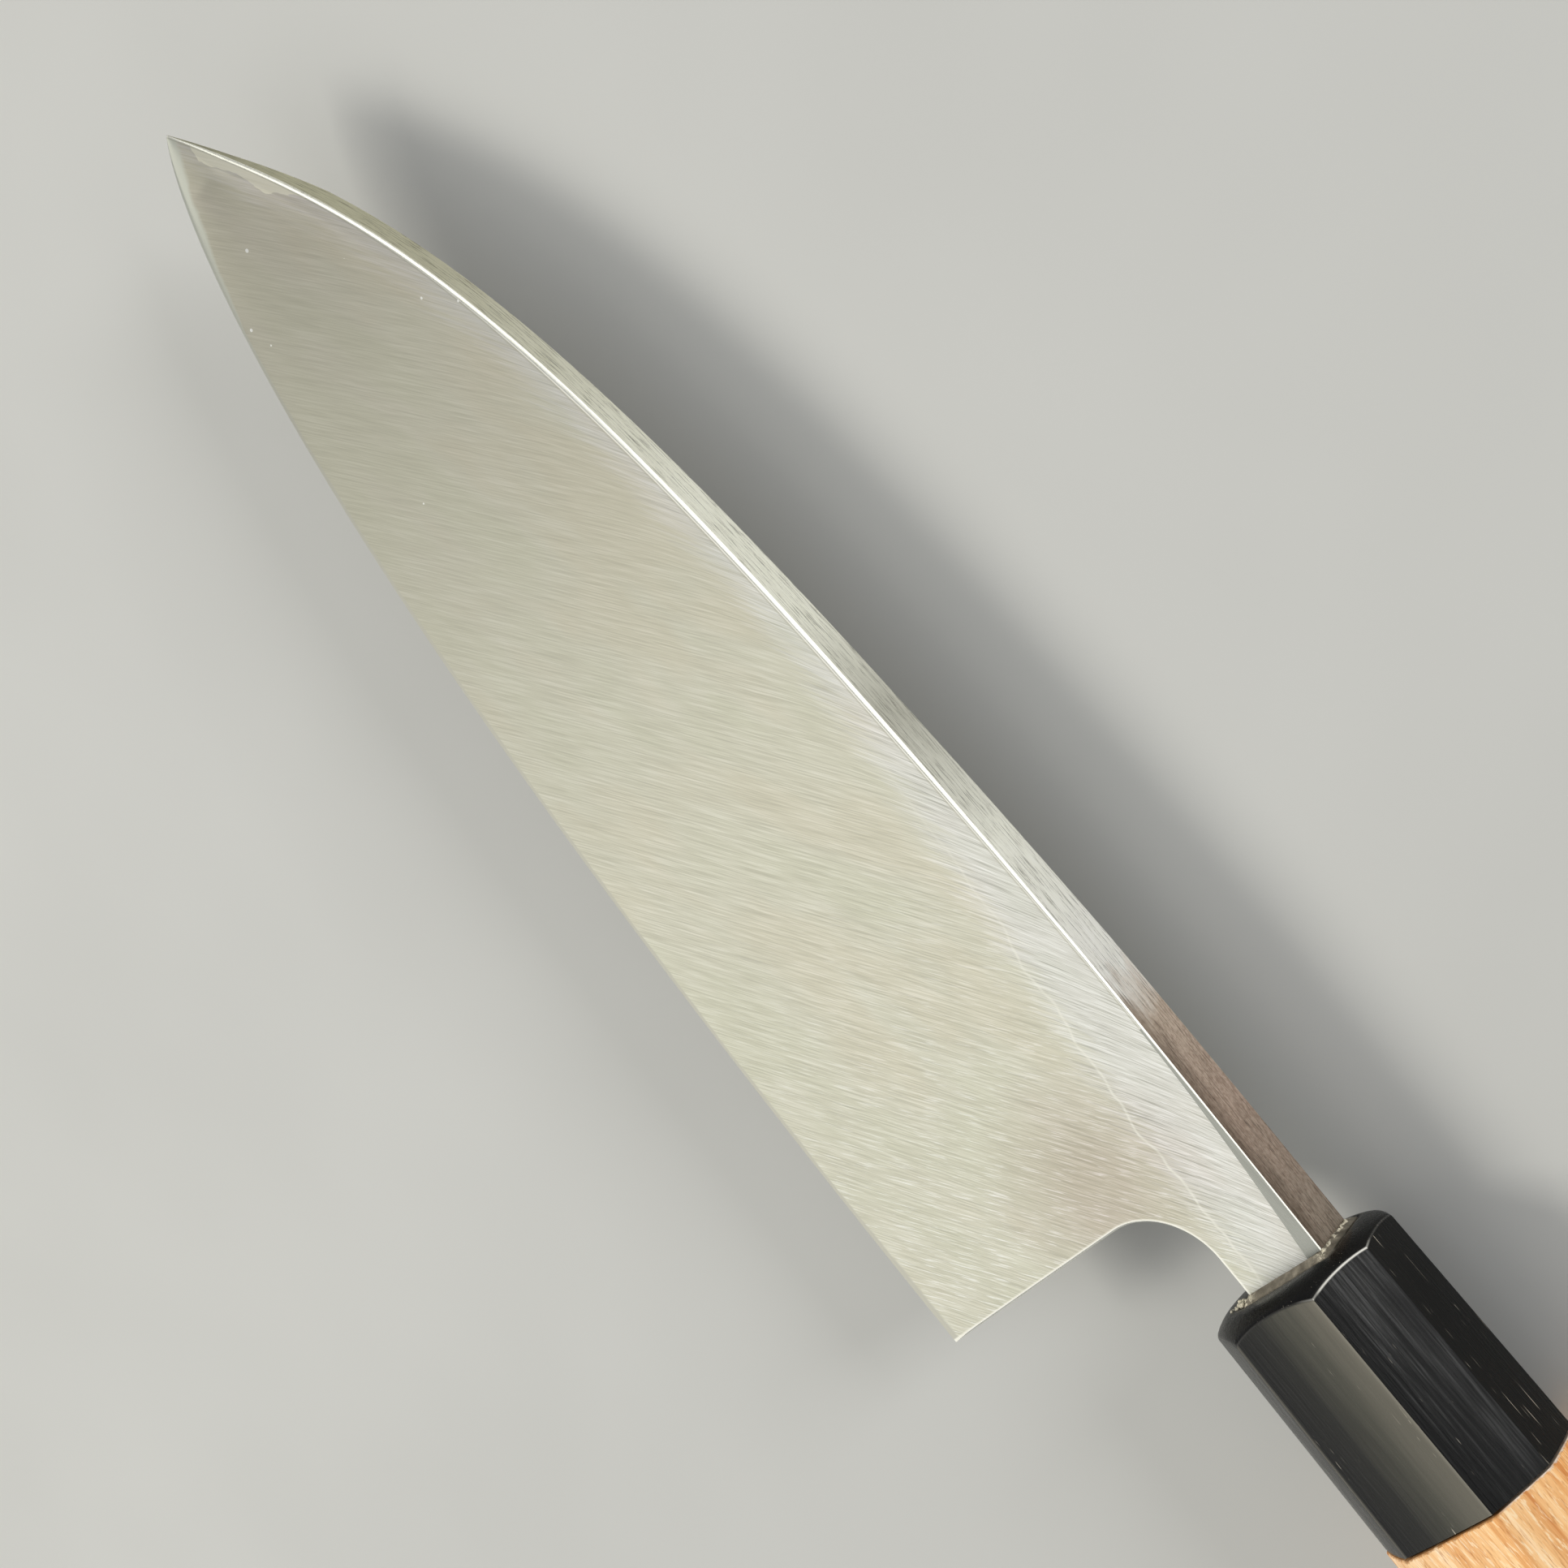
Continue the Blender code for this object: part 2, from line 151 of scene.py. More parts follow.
def mesh_piece(name, points, faces, materials, zones=None, attributes=None, sharp=12.0, grain=None):
    """A piece from points in millimetres, faces as lists of point numbers and a material number per face.

    Grain gives, for places and zones, how far a place lies along and across the surface's hairlines.
    """
    mesh = bpy.data.meshes.new(name)
    mesh.from_pydata((points * MM + AXIS).tolist(), [], faces)
    for material in materials:
        mesh.materials.append(material)
    if zones is not None:
        mesh.polygons.foreach_set("material_index", np.asarray(zones, np.int32))
    for key, values in (attributes or {}).items():
        layer = mesh.attributes.new(key, "FLOAT", "POINT")
        layer.data.foreach_set("value", np.asarray(values, np.float32))
    work = bmesh.new()
    work.from_mesh(mesh)
    bmesh.ops.recalc_face_normals(work, faces=work.faces)
    work.to_mesh(mesh)
    work.free()
    if grain:
        corners = np.empty(len(mesh.loops), np.int32)
        mesh.loops.foreach_get("vertex_index", corners)
        totals, zone = np.empty(len(mesh.polygons), np.int32), np.empty(len(mesh.polygons), np.int32)
        mesh.polygons.foreach_get("loop_total", totals)
        mesh.polygons.foreach_get("material_index", zone)
        layer = mesh.uv_layers.new(name="grain")
        flow = grain(points[corners], np.repeat(zone, totals), corners)
        layer.data.foreach_set("uv", flow.ravel() / GRAIN_SPAN)
    mesh.shade_smooth()
    mesh.set_sharp_from_angle(angle=math.radians(sharp))
    piece = bpy.data.objects.new(name, mesh)
    bpy.context.scene.collection.objects.link(piece)
    return piece


def quads(index, around=False):
    """Faces between neighbours of a grid of point numbers; with around, the columns close on themselves."""
    if around:
        index = np.concatenate([index, index[:, :1]], axis=1)
    return np.stack([index[:-1, :-1], index[1:, :-1], index[1:, 1:], index[:-1, 1:]], -1).reshape(-1, 4)


def fan(ring, pole):
    """Faces from a closed ring of point numbers to one point."""
    return np.stack([ring, np.roll(ring, -1), np.full(len(ring), pole)], -1).tolist()


def numbered(grid, start=0):
    """The numbers of a grid's points, from a first number on."""
    return start + np.arange(grid[..., 0].size).reshape(grid.shape[:-1])


def collect(points, grid):
    """Adds a grid of places to a list of points and gives their numbers."""
    points.append(grid.reshape(-1, 3))
    return numbered(grid, sum(map(len, points[:-1])))


def smooth_step(value):
    """0 to 1 with level ends: three squares less two cubes of the clipped value."""
    t = np.clip(value, 0.0, 1.0)
    return t * t * (3 - 2 * t)


def outline_curve(start, end, start_pull, end_pull):
    """A cubic Bezier curve; each pull gives a handle as shares of the run and the rise."""
    start, end = np.array(start), np.array(end)
    first = start + (end - start) * np.array(start_pull)
    second = end - (end - start) * np.array(end_pull)
    t = np.linspace(0.0, 1.0, 1200)[:, None]
    return (1 - t) ** 3 * start + 3 * (1 - t) ** 2 * t * first + 3 * (1 - t) * t ** 2 * second + t ** 3 * end


SPINE_CURVE = outline_curve((TIP_X, TIP_Y), (-SPINE_STRAIGHT, SPINE_Y), (0.196, 0.665), (0.665, 0.031))
EDGE_CURVE = outline_curve((TIP_X, TIP_Y), (HEEL_X, EDGE_Y), (0.016, 0.124), (0.839, 0.017))


def spine_height(x):
    """The spine's curve, less a fall that grows with the 1.4th power towards the neck."""
    fall = SPINE_FALL * np.clip(1 + x / SPINE_STRAIGHT, 0.0, 1.0) ** 1.4
    return np.interp(x, SPINE_CURVE[:, 0], SPINE_CURVE[:, 1]) - fall


def edge_height(x):
    """The cutting edge's curve, level past the heel."""
    return np.maximum(np.interp(x, EDGE_CURVE[:, 0], EDGE_CURVE[:, 1]), EDGE_Y + 0.002)


def fineness(x):
    """Shrinks rims and corners near the tip, where the blade is under 9 mm high."""
    return np.clip((spine_height(x) - edge_height(x)) / TIP_FINE_HEIGHT, 0.0, 1.0)


def corner_size(x):
    """The spine's eased corner: 0.4 mm as far as mid-blade, 0.15 mm at the neck, finer at the tip."""
    return SPINE_CORNER * fineness(x) * np.interp(x, (-70.0, -15.0), (1.15, 0.42))


def widening(x):
    """0 on the front of the blade, rising smoothly to 1 at the heel."""
    return smooth_step(1 - (HEEL_X - x) / WIDENING_LENGTH)


def facet_share(x):
    """0 up to 30 mm before the ferrule, then rising with the 1.6th power to 1 there."""
    return np.clip(1 + x / SPINE_FACET_LENGTH, 0.0, 1.0) ** 1.6


def facet_height(x):
    """Where the smooth facet under the spine's corner starts: it widens over its length to the neck."""
    width = SPINE_FACET[0] + (SPINE_FACET[1] - SPINE_FACET[0]) * facet_share(x)
    return spine_height(x) - corner_size(x) - width * fineness(x)


def strip_width(x):
    """Height of the flat strip between the back's hollow and the spine."""
    return (SPINE_RIM[0] + (SPINE_RIM[1] - SPINE_RIM[0]) * widening(x)) * fineness(x)


def thickness(x, y):
    """A face that thins by the taper below the spine, cut by a slightly swollen straight bevel."""
    spine, edge = spine_height(x), edge_height(x)
    to_tip = np.clip(x / TIP_X, 0.0, 1.0)
    at_spine = SPINE_THICKNESS[0] + (SPINE_THICKNESS[1] - SPINE_THICKNESS[0]) * to_tip
    face = at_spine - FACE_TAPER * (spine - y)
    at_ridge = at_spine - FACE_TAPER * np.maximum(spine - edge - BEVEL_HEIGHT, 0.0)
    share = (y - edge) / BEVEL_HEIGHT
    bevel = EDGE_LAND + (at_ridge - EDGE_LAND) * share + 4 * BEVEL_SWELL * share * (1 - share)
    return np.where(share < 1, np.minimum(face, bevel), face)


def back_surface(x, y):
    """The flat back less a parabola across the hollow and less the facet's even fall to the spine."""
    low = edge_height(x) + EDGE_RIM * fineness(x)
    high = spine_height(x) - strip_width(x)
    across = np.clip((y - low) / np.maximum(high - low, 0.01), 0.0, 1.0)
    start = facet_height(x)
    down = np.clip((y - start) / np.maximum(spine_height(x) - corner_size(x) - start, 0.01), 0.0, 1.0)
    hollow = HOLLOW_DEPTH * fineness(x) * 4 * across * (1 - across)
    return BACK_Z - hollow - SPINE_FACET_DROP * facet_share(x) * down


def front_surface(x, y):
    """The back's plane less the blade's thickness."""
    return BACK_Z - thickness(x, y)


# Blade

COLUMNS_TO_HEEL = 340
ARC_COLUMNS = 26
NECK_COLUMNS = 14
ROWS_BELOW_MIDDLE = 20
HEEL_TOP_X = HEEL_X - HEEL_LEAN
CHOIL_X = HEEL_TOP_X + CHOIL_RADIUS
CHOIL_Y = NECK_Y - CHOIL_RADIUS
CORNER_STEPS = np.linspace(0.0, math.pi / 2, 8)
WALL_STEPS = CORNER_STEPS[1::2]
ARCH = np.linspace(math.pi, math.pi / 2, ARC_COLUMNS + 1)[1:]
NECK_X = np.linspace(CHOIL_X, NECK_INSERT, NECK_COLUMNS + 1)[1:]

# Rows between one level of a side and the next
BACK_ROWS = (3, ROWS_BELOW_MIDDLE - 3, 14, 8, 4)
FRONT_ROWS = (12, ROWS_BELOW_MIDDLE - 12, 16)

# Zones of the blade, in the order of its materials, and the turn of their hairlines in degrees
BACK, CORNER, LAND, SPINE, CHOIL, FACE, BEVEL, FACET = range(8)
GRAIN_TURN = np.radians((40.0, 0.0, 0.0, 0.0, 0.0, 84.0, 8.0, 2.0))


def ridge_height(x):
    """Where the bevel meets the face: 19 mm over the edge, or just under the spine near the tip."""
    return np.minimum(edge_height(x) + BEVEL_HEIGHT, spine_height(x) - 2 * corner_size(x))


def back_levels(x):
    """Heights that the back's rows run between: edge, rim, middle, hollow's top, facet and corner."""
    edge, spine, fine = edge_height(x), spine_height(x), fineness(x)
    rim, top = edge + EDGE_RIM * fine, spine - strip_width(x)
    corner = spine - corner_size(x)
    return np.stack([edge, rim, rim + BACK_MIDDLE * (top - rim), top, facet_height(x), corner])


def front_levels(x):
    """Heights that the front's rows run between: edge, ridge, middle and spine corner."""
    edge, ridge = edge_height(x), ridge_height(x)
    corner = spine_height(x) - corner_size(x)
    return np.stack([edge, ridge, ridge + FRONT_MIDDLE * (corner - ridge), corner])


def middle_share(low, high):
    """The share of a level's height at which the choil's arch starts, at the heel's top."""
    return (CHOIL_Y - low) / (high - low)


LAST_X = HEEL_TOP_X - WALL_CORNER
BACK_MIDDLE = middle_share(edge_height(LAST_X) + EDGE_RIM, spine_height(LAST_X) - strip_width(LAST_X))
FRONT_MIDDLE = middle_share(ridge_height(LAST_X), spine_height(LAST_X) - corner_size(LAST_X))


def heel_lean(y):
    """How far the heel's line leans towards the butt below the arch's start."""
    return HEEL_LEAN * np.clip((CHOIL_Y - y) / (CHOIL_Y - EDGE_Y), 0.0, 1.0)


def blade_side(levels, counts):
    """Places (x, y) of one side's points as two grids that share a column.

    The first grid has columns from the tip to the heel and rows that run between the levels. Its
    last columns lean into the heel's line. The second goes on over the arch to the neck: its lowest
    row follows the arch's circle and then the neck's level underside, and its columns fan out
    from there to evenly spaced places on the hollow's top.
    """
    level = np.concatenate([np.full(n, i) for i, n in enumerate(counts)] + [[len(counts) - 1]])
    share = np.concatenate([np.arange(n) / n for n in counts] + [[1.0]])[:, None]
    rows = np.arange(len(level))
    run = np.linspace(0.0, 1.0, COLUMNS_TO_HEEL) ** 1.2
    column = TIP_X + 0.12 + (HEEL_TOP_X - TIP_X - 0.12) * run
    near_heel = smooth_step((column - HEEL_TOP_X) / 20 + 1)
    x = np.repeat(column[None], len(level), 0)
    for _ in range(4):
        heights = levels(x)
        y = heights[level, rows] * (1 - share) + heights[level + 1, rows] * share
        drawn_in = WALL_CORNER * np.clip((y - edge_height(x)) / 2.5, 0.05, 1.0)
        x = column + near_heel * (heel_lean(y) - drawn_in)
    reach = CHOIL_RADIUS + WALL_CORNER
    low_x = np.concatenate([CHOIL_X + reach * np.cos(ARCH), NECK_X])
    low_y = np.concatenate([CHOIL_Y + reach * np.sin(ARCH), np.full(NECK_COLUMNS, NECK_Y + WALL_CORNER)])
    high_x = np.concatenate([np.linspace(LAST_X, CHOIL_X, ARC_COLUMNS + 1)[1:], NECK_X])
    first = ROWS_BELOW_MIDDLE
    fan = (level[first:] == level[first])[:, None]
    rising = np.where(fan, share[first:], 1.0)
    far_x = low_x * (1 - rising) + high_x * rising
    heights = levels(np.repeat(high_x[None], len(level) - first, 0))
    here = np.arange(len(level) - first)
    lower = np.where(fan, low_y, heights[level[first:], here])
    far_y = lower * (1 - share[first:]) + heights[level[first:] + 1, here] * share[first:]
    return (x, y), (far_x, far_y)


def blade_mesh():
    """Points, faces, a zone per face and the heights over the edge and under the spine per point."""
    points, first = [], ROWS_BELOW_MIDDLE
    back, back_neck, front, front_neck = (
        collect(points, np.stack([x, y, lies(x, y)], -1))
        for levels, rows, lies in ((back_levels, BACK_ROWS, back_surface),
                                   (front_levels, FRONT_ROWS, front_surface))
        for x, y in blade_side(levels, rows))
    back_neck = np.concatenate([back[first:, -1:], back_neck], 1)
    front_neck = np.concatenate([front[first:, -1:], front_neck], 1)
    laid = np.concatenate(points)

    # Spine: an eased corner, a flat and an eased corner from the back's top row to the front's
    top_back = np.concatenate([back[-1], back_neck[-1, 1:]])
    top_front = np.concatenate([front[-1], front_neck[-1, 1:]])
    x = laid[top_back, 0]
    corner, spine = corner_size(x), spine_height(x)
    back_z, front_z = laid[top_back, 2], laid[top_front, 2]
    turn = CORNER_STEPS[1:, None]
    ease = np.array([0.07, 0.2, 0.4, 0.6, 0.8, 0.93, 1.0])[:, None]
    out, down = 0.35 * np.sin(turn) + 0.65 * ease, 0.35 * np.cos(turn) + 0.65 * (1 - ease)
    flat = np.linspace(0.0, 1.0, 8)[1:, None]
    rounded = spine - corner + corner * out
    band_y = np.concatenate([rounded, np.repeat(spine[None], len(flat), 0), rounded[-2::-1]])
    band_z = np.concatenate([back_z - corner + corner * down,
                             (back_z - corner) * (1 - flat) + (front_z + corner) * flat,
                             front_z + corner - corner * down[-2::-1]])
    band = collect(points, np.stack([np.repeat(x[None], len(band_y), 0), band_y, band_z], -1))
    spine_rows = np.concatenate([top_back[None], band, top_front[None]])

    # Heel, arch and neck: the outline between two small corners
    paths = [np.concatenate([side[:first + 1, -1], beyond[0, 1:]])
             for side, beyond in ((back, back_neck), (front, front_neck))]
    edges = []
    for path, way, turns in zip(paths, (-1.0, 1.0), (WALL_STEPS, WALL_STEPS[::-1])):
        from_x, from_y, level = laid[path].T
        y = from_y.copy()
        x = HEEL_TOP_X + heel_lean(y)
        arc = slice(first + 1, first + 1 + ARC_COLUMNS)
        x[arc], y[arc] = CHOIL_X + CHOIL_RADIUS * np.cos(ARCH), CHOIL_Y + CHOIL_RADIUS * np.sin(ARCH)
        x[arc.stop:], y[arc.stop:] = NECK_X, NECK_Y
        drop = np.minimum(WALL_CORNER, 0.4 * thickness(x, y))
        edges.append(np.stack([np.stack([
            from_x + (x - from_x) * np.sin(t), from_y + (y - from_y) * np.sin(t),
            level + way * drop * (1 - np.cos(t))], -1) for t in turns]))
    middle = [edges[0][-1] * (1 - t) + edges[1][0] * t for t in (0.25, 0.5, 0.75)]
    wall = collect(points, np.concatenate([edges[0], middle, edges[1]]))
    wall_rows = np.concatenate([paths[0][None], wall, paths[1][None]])

    # Tang: a tapered bar whose root stands in the neck
    ends = np.array([(NECK_INSERT / 2, *NECK_MIDDLE, TANG_HEIGHT[0], TANG_THICKNESS[0]),
                     (TANG_LENGTH, 0.0, 0.0, TANG_HEIGHT[1], TANG_THICKNESS[1])])
    signs = np.array([(-1, -1), (1, -1), (1, 1), (-1, 1)]) / 2
    bar = collect(points, np.stack([np.stack([
        np.full(4, e[0]), e[1] + signs[:, 0] * e[3], e[2] + signs[:, 1] * e[4]], -1) for e in ends]))
    apex = collect(points, np.array([[TIP_X, TIP_Y, BACK_Z - EDGE_LAND / 2]]))[0]
    laid = np.concatenate(points)

    faces, zones = [], []
    for grid, zone in ((back, BACK), (back_neck, BACK), (front, FACE), (front_neck, FACE),
                       (spine_rows, SPINE), (wall_rows, CHOIL), (np.stack([back[0], front[0]]), LAND),
                       (np.concatenate([bar, bar[:, :1]], 1), FACE)):
        faces += quads(grid).tolist()
        zones.append(np.full((grid.shape[0] - 1, grid.shape[1] - 1), zone))
    zones[2][:FRONT_ROWS[0]] = BEVEL
    for zone, grid in zip(zones, (back, back_neck)):
        rows = BACK_ROWS[-1]
        zone[-rows:][laid[grid[-rows:, 1:], 0] > -SPINE_FACET_LENGTH] = FACET
    for zone, rows in ((zones[4], len(ease)), (zones[5], len(WALL_STEPS))):
        zone[:rows] = zone[-rows:] = CORNER
    tip = fan(np.concatenate([back[:, 0], spine_rows[1:-1, 0], front[::-1, 0]]), apex)
    cap = np.concatenate([back_neck[:, -1], spine_rows[1:-1, -1], front_neck[::-1, -1],
                          wall_rows[1:-1, -1][::-1]])
    faces += tip + [cap.tolist(), bar[0].tolist(), bar[1].tolist(), wall_rows[:, 0].tolist()]
    zones += [np.full(len(tip), CORNER), np.array([FACE, FACE, FACE, CHOIL])]

    x, y = laid[:, 0], laid[:, 1]
    reach = np.concatenate([[0.0], np.cumsum(np.hypot(*np.diff(SPINE_CURVE, axis=0).T))])
    along = np.where(x < -SPINE_STRAIGHT, np.interp(x, SPINE_CURVE[:, 0], reach),
                     reach[-1] + SPINE_STRAIGHT + x)
    from_arch = np.where((x > HEEL_X - 1) & (x < CHOIL_X) & (y < CHOIL_Y + CHOIL_RADIUS + 6),
                         np.hypot(x - CHOIL_X, y - CHOIL_Y) - CHOIL_RADIUS, y - NECK_Y)
    inside = np.where((y < CHOIL_Y) | (x < HEEL_X - 1), HEEL_TOP_X + heel_lean(y) - x, from_arch)
    heights = {"over_edge": y - edge_height(x), "under_spine": spine_height(x) - y, "inside_heel": inside,
               "over_hollow": y - spine_height(x) + strip_width(x), "along_spine": along}
    return laid, faces, np.concatenate([zone.ravel() for zone in zones]), heights


def blade_grain(heights, places, zone, corners):
    """Hairline directions: turned in the sides' plane, lengthwise on the spine, across on the choil.

    On the back they bend towards the spine: the way across gains a square over the last 9 mm.
    """
    x, y, z = places.T
    turn = GRAIN_TURN[zone]
    along = x * np.cos(turn) + y * np.sin(turn)
    across = y * np.cos(turn) - x * np.sin(turn)
    bend = 0.018 * np.maximum(9.0 - heights["under_spine"][corners], 0.0) ** 2
    across = across + np.where(zone == BACK, bend, 0.0)
    for one, way in ((SPINE, (heights["along_spine"][corners], z)), (CHOIL, (z, y - x))):
        along, across = np.where(zone == one, way[0], along), np.where(zone == one, way[1], across)
    return np.stack([along, across], -1)


# Handle

FACET_POINTS = 11
CORNER_POINTS = 4
FACET_SAG = 0.17
EDGE_ROUNDING = 0.4
FRONT_ROLL = 0.45
SIDE_ROWS = 22
RIM_REACH = 0.9
LIP_DEPTH = 0.12
JOINT_BREAK = 0.18


def handle_rings(x, proud=0.0, inset=0.0, rounding=EDGE_ROUNDING, sag=FACET_SAG):
    """Rings of (y, z) round the octagon at every x.

    Facet k looks 45 degrees k round and lies its own distance from the axis. Each facet falls away
    from its middle by the square of the way to its edge, and a quarter of a right angle's arc
    joins it to the next on either side.
    """
    x = np.atleast_1d(np.asarray(x, float))
    grown = proud - np.broadcast_to(inset, x.shape)
    share = x / HANDLE_LENGTH
    a = (HANDLE_HEIGHT[0] + (HANDLE_HEIGHT[1] - HANDLE_HEIGHT[0]) * share) / 2 + grown
    b = (HANDLE_WIDTH[0] + (HANDLE_WIDTH[1] - HANDLE_WIDTH[0]) * share) / 2 + grown
    leg = CORNER_LEG + (2 - math.sqrt(2)) * grown
    slanted = (a + b - leg) / math.sqrt(2)
    reach = np.stack([a, slanted, b, slanted] * 2, 1)[:, :, None]
    after, before = np.roll(reach, -1, 1), np.roll(reach, 1, 1)
    end = (after - reach * math.cos(math.pi / 4)) / math.sin(math.pi / 4)
    start = -(before - reach * math.cos(math.pi / 4)) / math.sin(math.pi / 4)
    trim = rounding * math.tan(math.pi / 8)
    across = np.linspace(0.0, 1.0, FACET_POINTS)
    side = start + trim + (end - start - 2 * trim) * across
    out = reach - sag * (2 * across - 1) ** 2
    look = (np.arange(8) * math.pi / 4)[None, :, None]
    y = out * np.cos(look) - side * np.sin(look)
    z = out * np.sin(look) + side * np.cos(look)
    turn = np.linspace(0.0, math.pi / 4, CORNER_POINTS + 2)[1:-1]
    middle_out, middle_side = reach - rounding, end - trim
    arc = look + turn
    arc_y = middle_out * np.cos(look) - middle_side * np.sin(look) + (rounding - sag) * np.cos(arc)
    arc_z = middle_out * np.sin(look) + middle_side * np.cos(look) + (rounding - sag) * np.sin(arc)
    ring = np.stack([np.concatenate([y, arc_y], 2), np.concatenate([z, arc_z], 2)], -1)
    return ring.reshape(len(x), -1, 2)


def dome_x(y, z):
    """The ferrule's front: level to an oval of half-axes 8.3 and 6.7 mm, then an elliptic fall."""
    radius = np.hypot(y * HANDLE_WIDTH[0] / HANDLE_HEIGHT[0], z)
    rise = np.clip((radius - DOME_FLAT_RADIUS) / (DOME_OUTER_RADIUS - DOME_FLAT_RADIUS), 0.0, 1.0)
    return DOME_DEPTH * (1 - np.sqrt(1 - rise ** 2))


def mouth_ring(angle, wall, power=14.0):
    """The neck's rectangle grown by a wall, as a high power ellipse round the neck's middle."""
    half = (NECK_HALF[0] + wall, NECK_HALF[1] + wall)
    total = np.abs(np.cos(angle) / half[0]) ** power + np.abs(np.sin(angle) / half[1]) ** power
    return NECK_MIDDLE + circle_ring(angle, total ** (-1 / power))


def circle_ring(angle, radius):
    """A circle round the handle's axis."""
    return np.stack([radius * np.cos(angle), radius * np.sin(angle)], -1)


def placed(x, ring):
    """Points from x and a ring of (y, z)."""
    return np.stack([np.broadcast_to(x, ring.shape[:-1]), ring[..., 0], ring[..., 1]], -1)


def ferrule_mesh():
    """A closed loop round the octagon: side, rolled front edge, dome, mouth, bore and back face."""
    section = handle_rings(3.0)[0]
    front = dome_x(section[:, 0], section[:, 1])
    angle = np.arctan2(section[:, 1] - NECK_MIDDLE[1], section[:, 0] - NECK_MIDDLE[0])
    mouth = mouth_ring(angle, MOUTH_WALL)
    span = np.hypot(*(section - mouth).T)
    stretch = FRONT_ROLL / span
    ends = handle_rings((0.0, FERRULE_LENGTH))

    def on_side(x):
        share = np.clip(x / FERRULE_LENGTH, 0.0, 1.0)[:, None]
        return placed(x, ends[0] * (1 - share) + ends[1] * share)

    def on_dome(v):
        ring = section * (1 - v[:, None]) + mouth * v[:, None]
        rim = smooth_step(1 - (1 - v) * span / RIM_REACH)
        return placed(dome_x(ring[:, 0], ring[:, 1]) + RIM_DROP * rim, ring)

    sharp, low, high = on_side(front), on_side(front + FRONT_ROLL), on_dome(stretch)
    rows = [on_side(front + FRONT_ROLL + (FERRULE_LENGTH - front - FRONT_ROLL) * (1 - t))
            for t in np.linspace(0.0, 1.0, SIDE_ROWS)]
    rows += [(1 - t) ** 2 * low + 2 * (1 - t) * t * sharp + t ** 2 * high for t in (0.2, 0.4, 0.6, 0.8)]
    rows += [on_dome(stretch + (1 - stretch - LIP_DEPTH / span) * t) for t in np.linspace(0.0, 1.0, 18)]
    lip = placed(dome_x(mouth[:, 0], mouth[:, 1]) + RIM_DROP + LIP_DEPTH, mouth)
    rows += [lip, placed(FRONT_WALL, mouth)]
    bore = circle_ring(np.arctan2(section[:, 1], section[:, 0]), BORE_RADIUS)
    rows += [placed(x, bore) for x in np.linspace(FRONT_WALL, FERRULE_LENGTH, 6)]
    points = np.stack(rows)
    index = numbered(points)
    faces = quads(np.concatenate([index, index[:1]]), around=True)

    # The second row of the rolled edge carries the painted glint
    glint_row = np.zeros(index.shape)
    glint_row[SIDE_ROWS + 1] = 1.0
    return points.reshape(-1, 3), faces.tolist(), glint_row.ravel()


def grip_mesh():
    """From the tang hole's end out through the bore, over the octagon and round to the butt's middle."""
    section = handle_rings(WOOD_START, WOOD_PROUD)[0]
    around = np.arctan2(section[:, 1], section[:, 0])
    hole, bore = circle_ring(around, TANG_HOLE_RADIUS), circle_ring(around, BORE_RADIUS)
    rows = [placed(TANG_HOLE_END, hole), placed(BORE_END, hole), placed(BORE_END, bore),
            placed(WOOD_START, bore)]
    rows.append(placed(WOOD_START, handle_rings(WOOD_START, WOOD_PROUD, JOINT_BREAK)[0]))
    x = np.linspace(WOOD_START + JOINT_BREAK, HANDLE_LENGTH - BUTT_ROUNDING, 60)
    rows += list(placed(x[:, None], handle_rings(x, WOOD_PROUD)))
    turn = np.linspace(0.0, math.pi / 2, 9)[1:]
    x = HANDLE_LENGTH - BUTT_ROUNDING * (1 - np.sin(turn))
    inset = BUTT_ROUNDING * (1 - np.cos(turn))
    rows += list(placed(x[:, None], handle_rings(x, WOOD_PROUD, inset)))
    end = rows[-1]
    rows += [end * (1, s, s) for s in (0.85, 0.6, 0.3)]
    points = np.stack(rows)
    index = numbered(points)
    faces = quads(index, around=True).tolist() + fan(index[0], index.size) + fan(index[-1], index.size + 1)
    poles = np.array([(TANG_HOLE_END, 0.0, 0.0), (HANDLE_LENGTH, 0.0, 0.0)])
    return np.concatenate([points.reshape(-1, 3), poles]), faces


def waves(angle, seed, highest):
    """A sum of sines round the neck with falling heights and seeded phases, between about -1 and 1."""
    chance = np.random.default_rng(seed)
    order = np.arange(2, highest)
    phase = chance.uniform(0, 2 * math.pi, len(order))
    height = chance.uniform(0.3, 1.0, len(order)) / order ** 0.5
    total = (height * np.sin(np.multiply.outer(angle, order) + phase)).sum(-1)
    return total / np.abs(total).max()


def crumb_lumps(places, sizes, chance):
    """Small closed lumps: at each place a ball of its size whose points are pushed in and out by chance."""
    turn = np.linspace(0.0, 2 * math.pi, 8)[:-1]
    rise = np.linspace(0.0, math.pi, 6)[1:-1]
    circle = np.stack([np.cos(turn), np.sin(turn)], -1)
    rings = placed(-np.cos(rise)[:, None], np.sin(rise)[:, None, None] * circle)
    ball = np.concatenate([rings.reshape(-1, 3), [(-1.0, 0.0, 0.0), (1.0, 0.0, 0.0)]])
    index = numbered(rings)
    faces = quads(index, around=True).tolist() + fan(index[0], index.size) + fan(index[-1], index.size + 1)
    dents = chance.uniform(0.6, 1.3, (len(places), len(ball), 1))
    points = places[:, None] + sizes[:, None, None] * dents * ball
    return points.reshape(-1, 3), [[corner + lump * len(ball) for corner in face]
                                   for lump in range(len(places)) for face in faces]


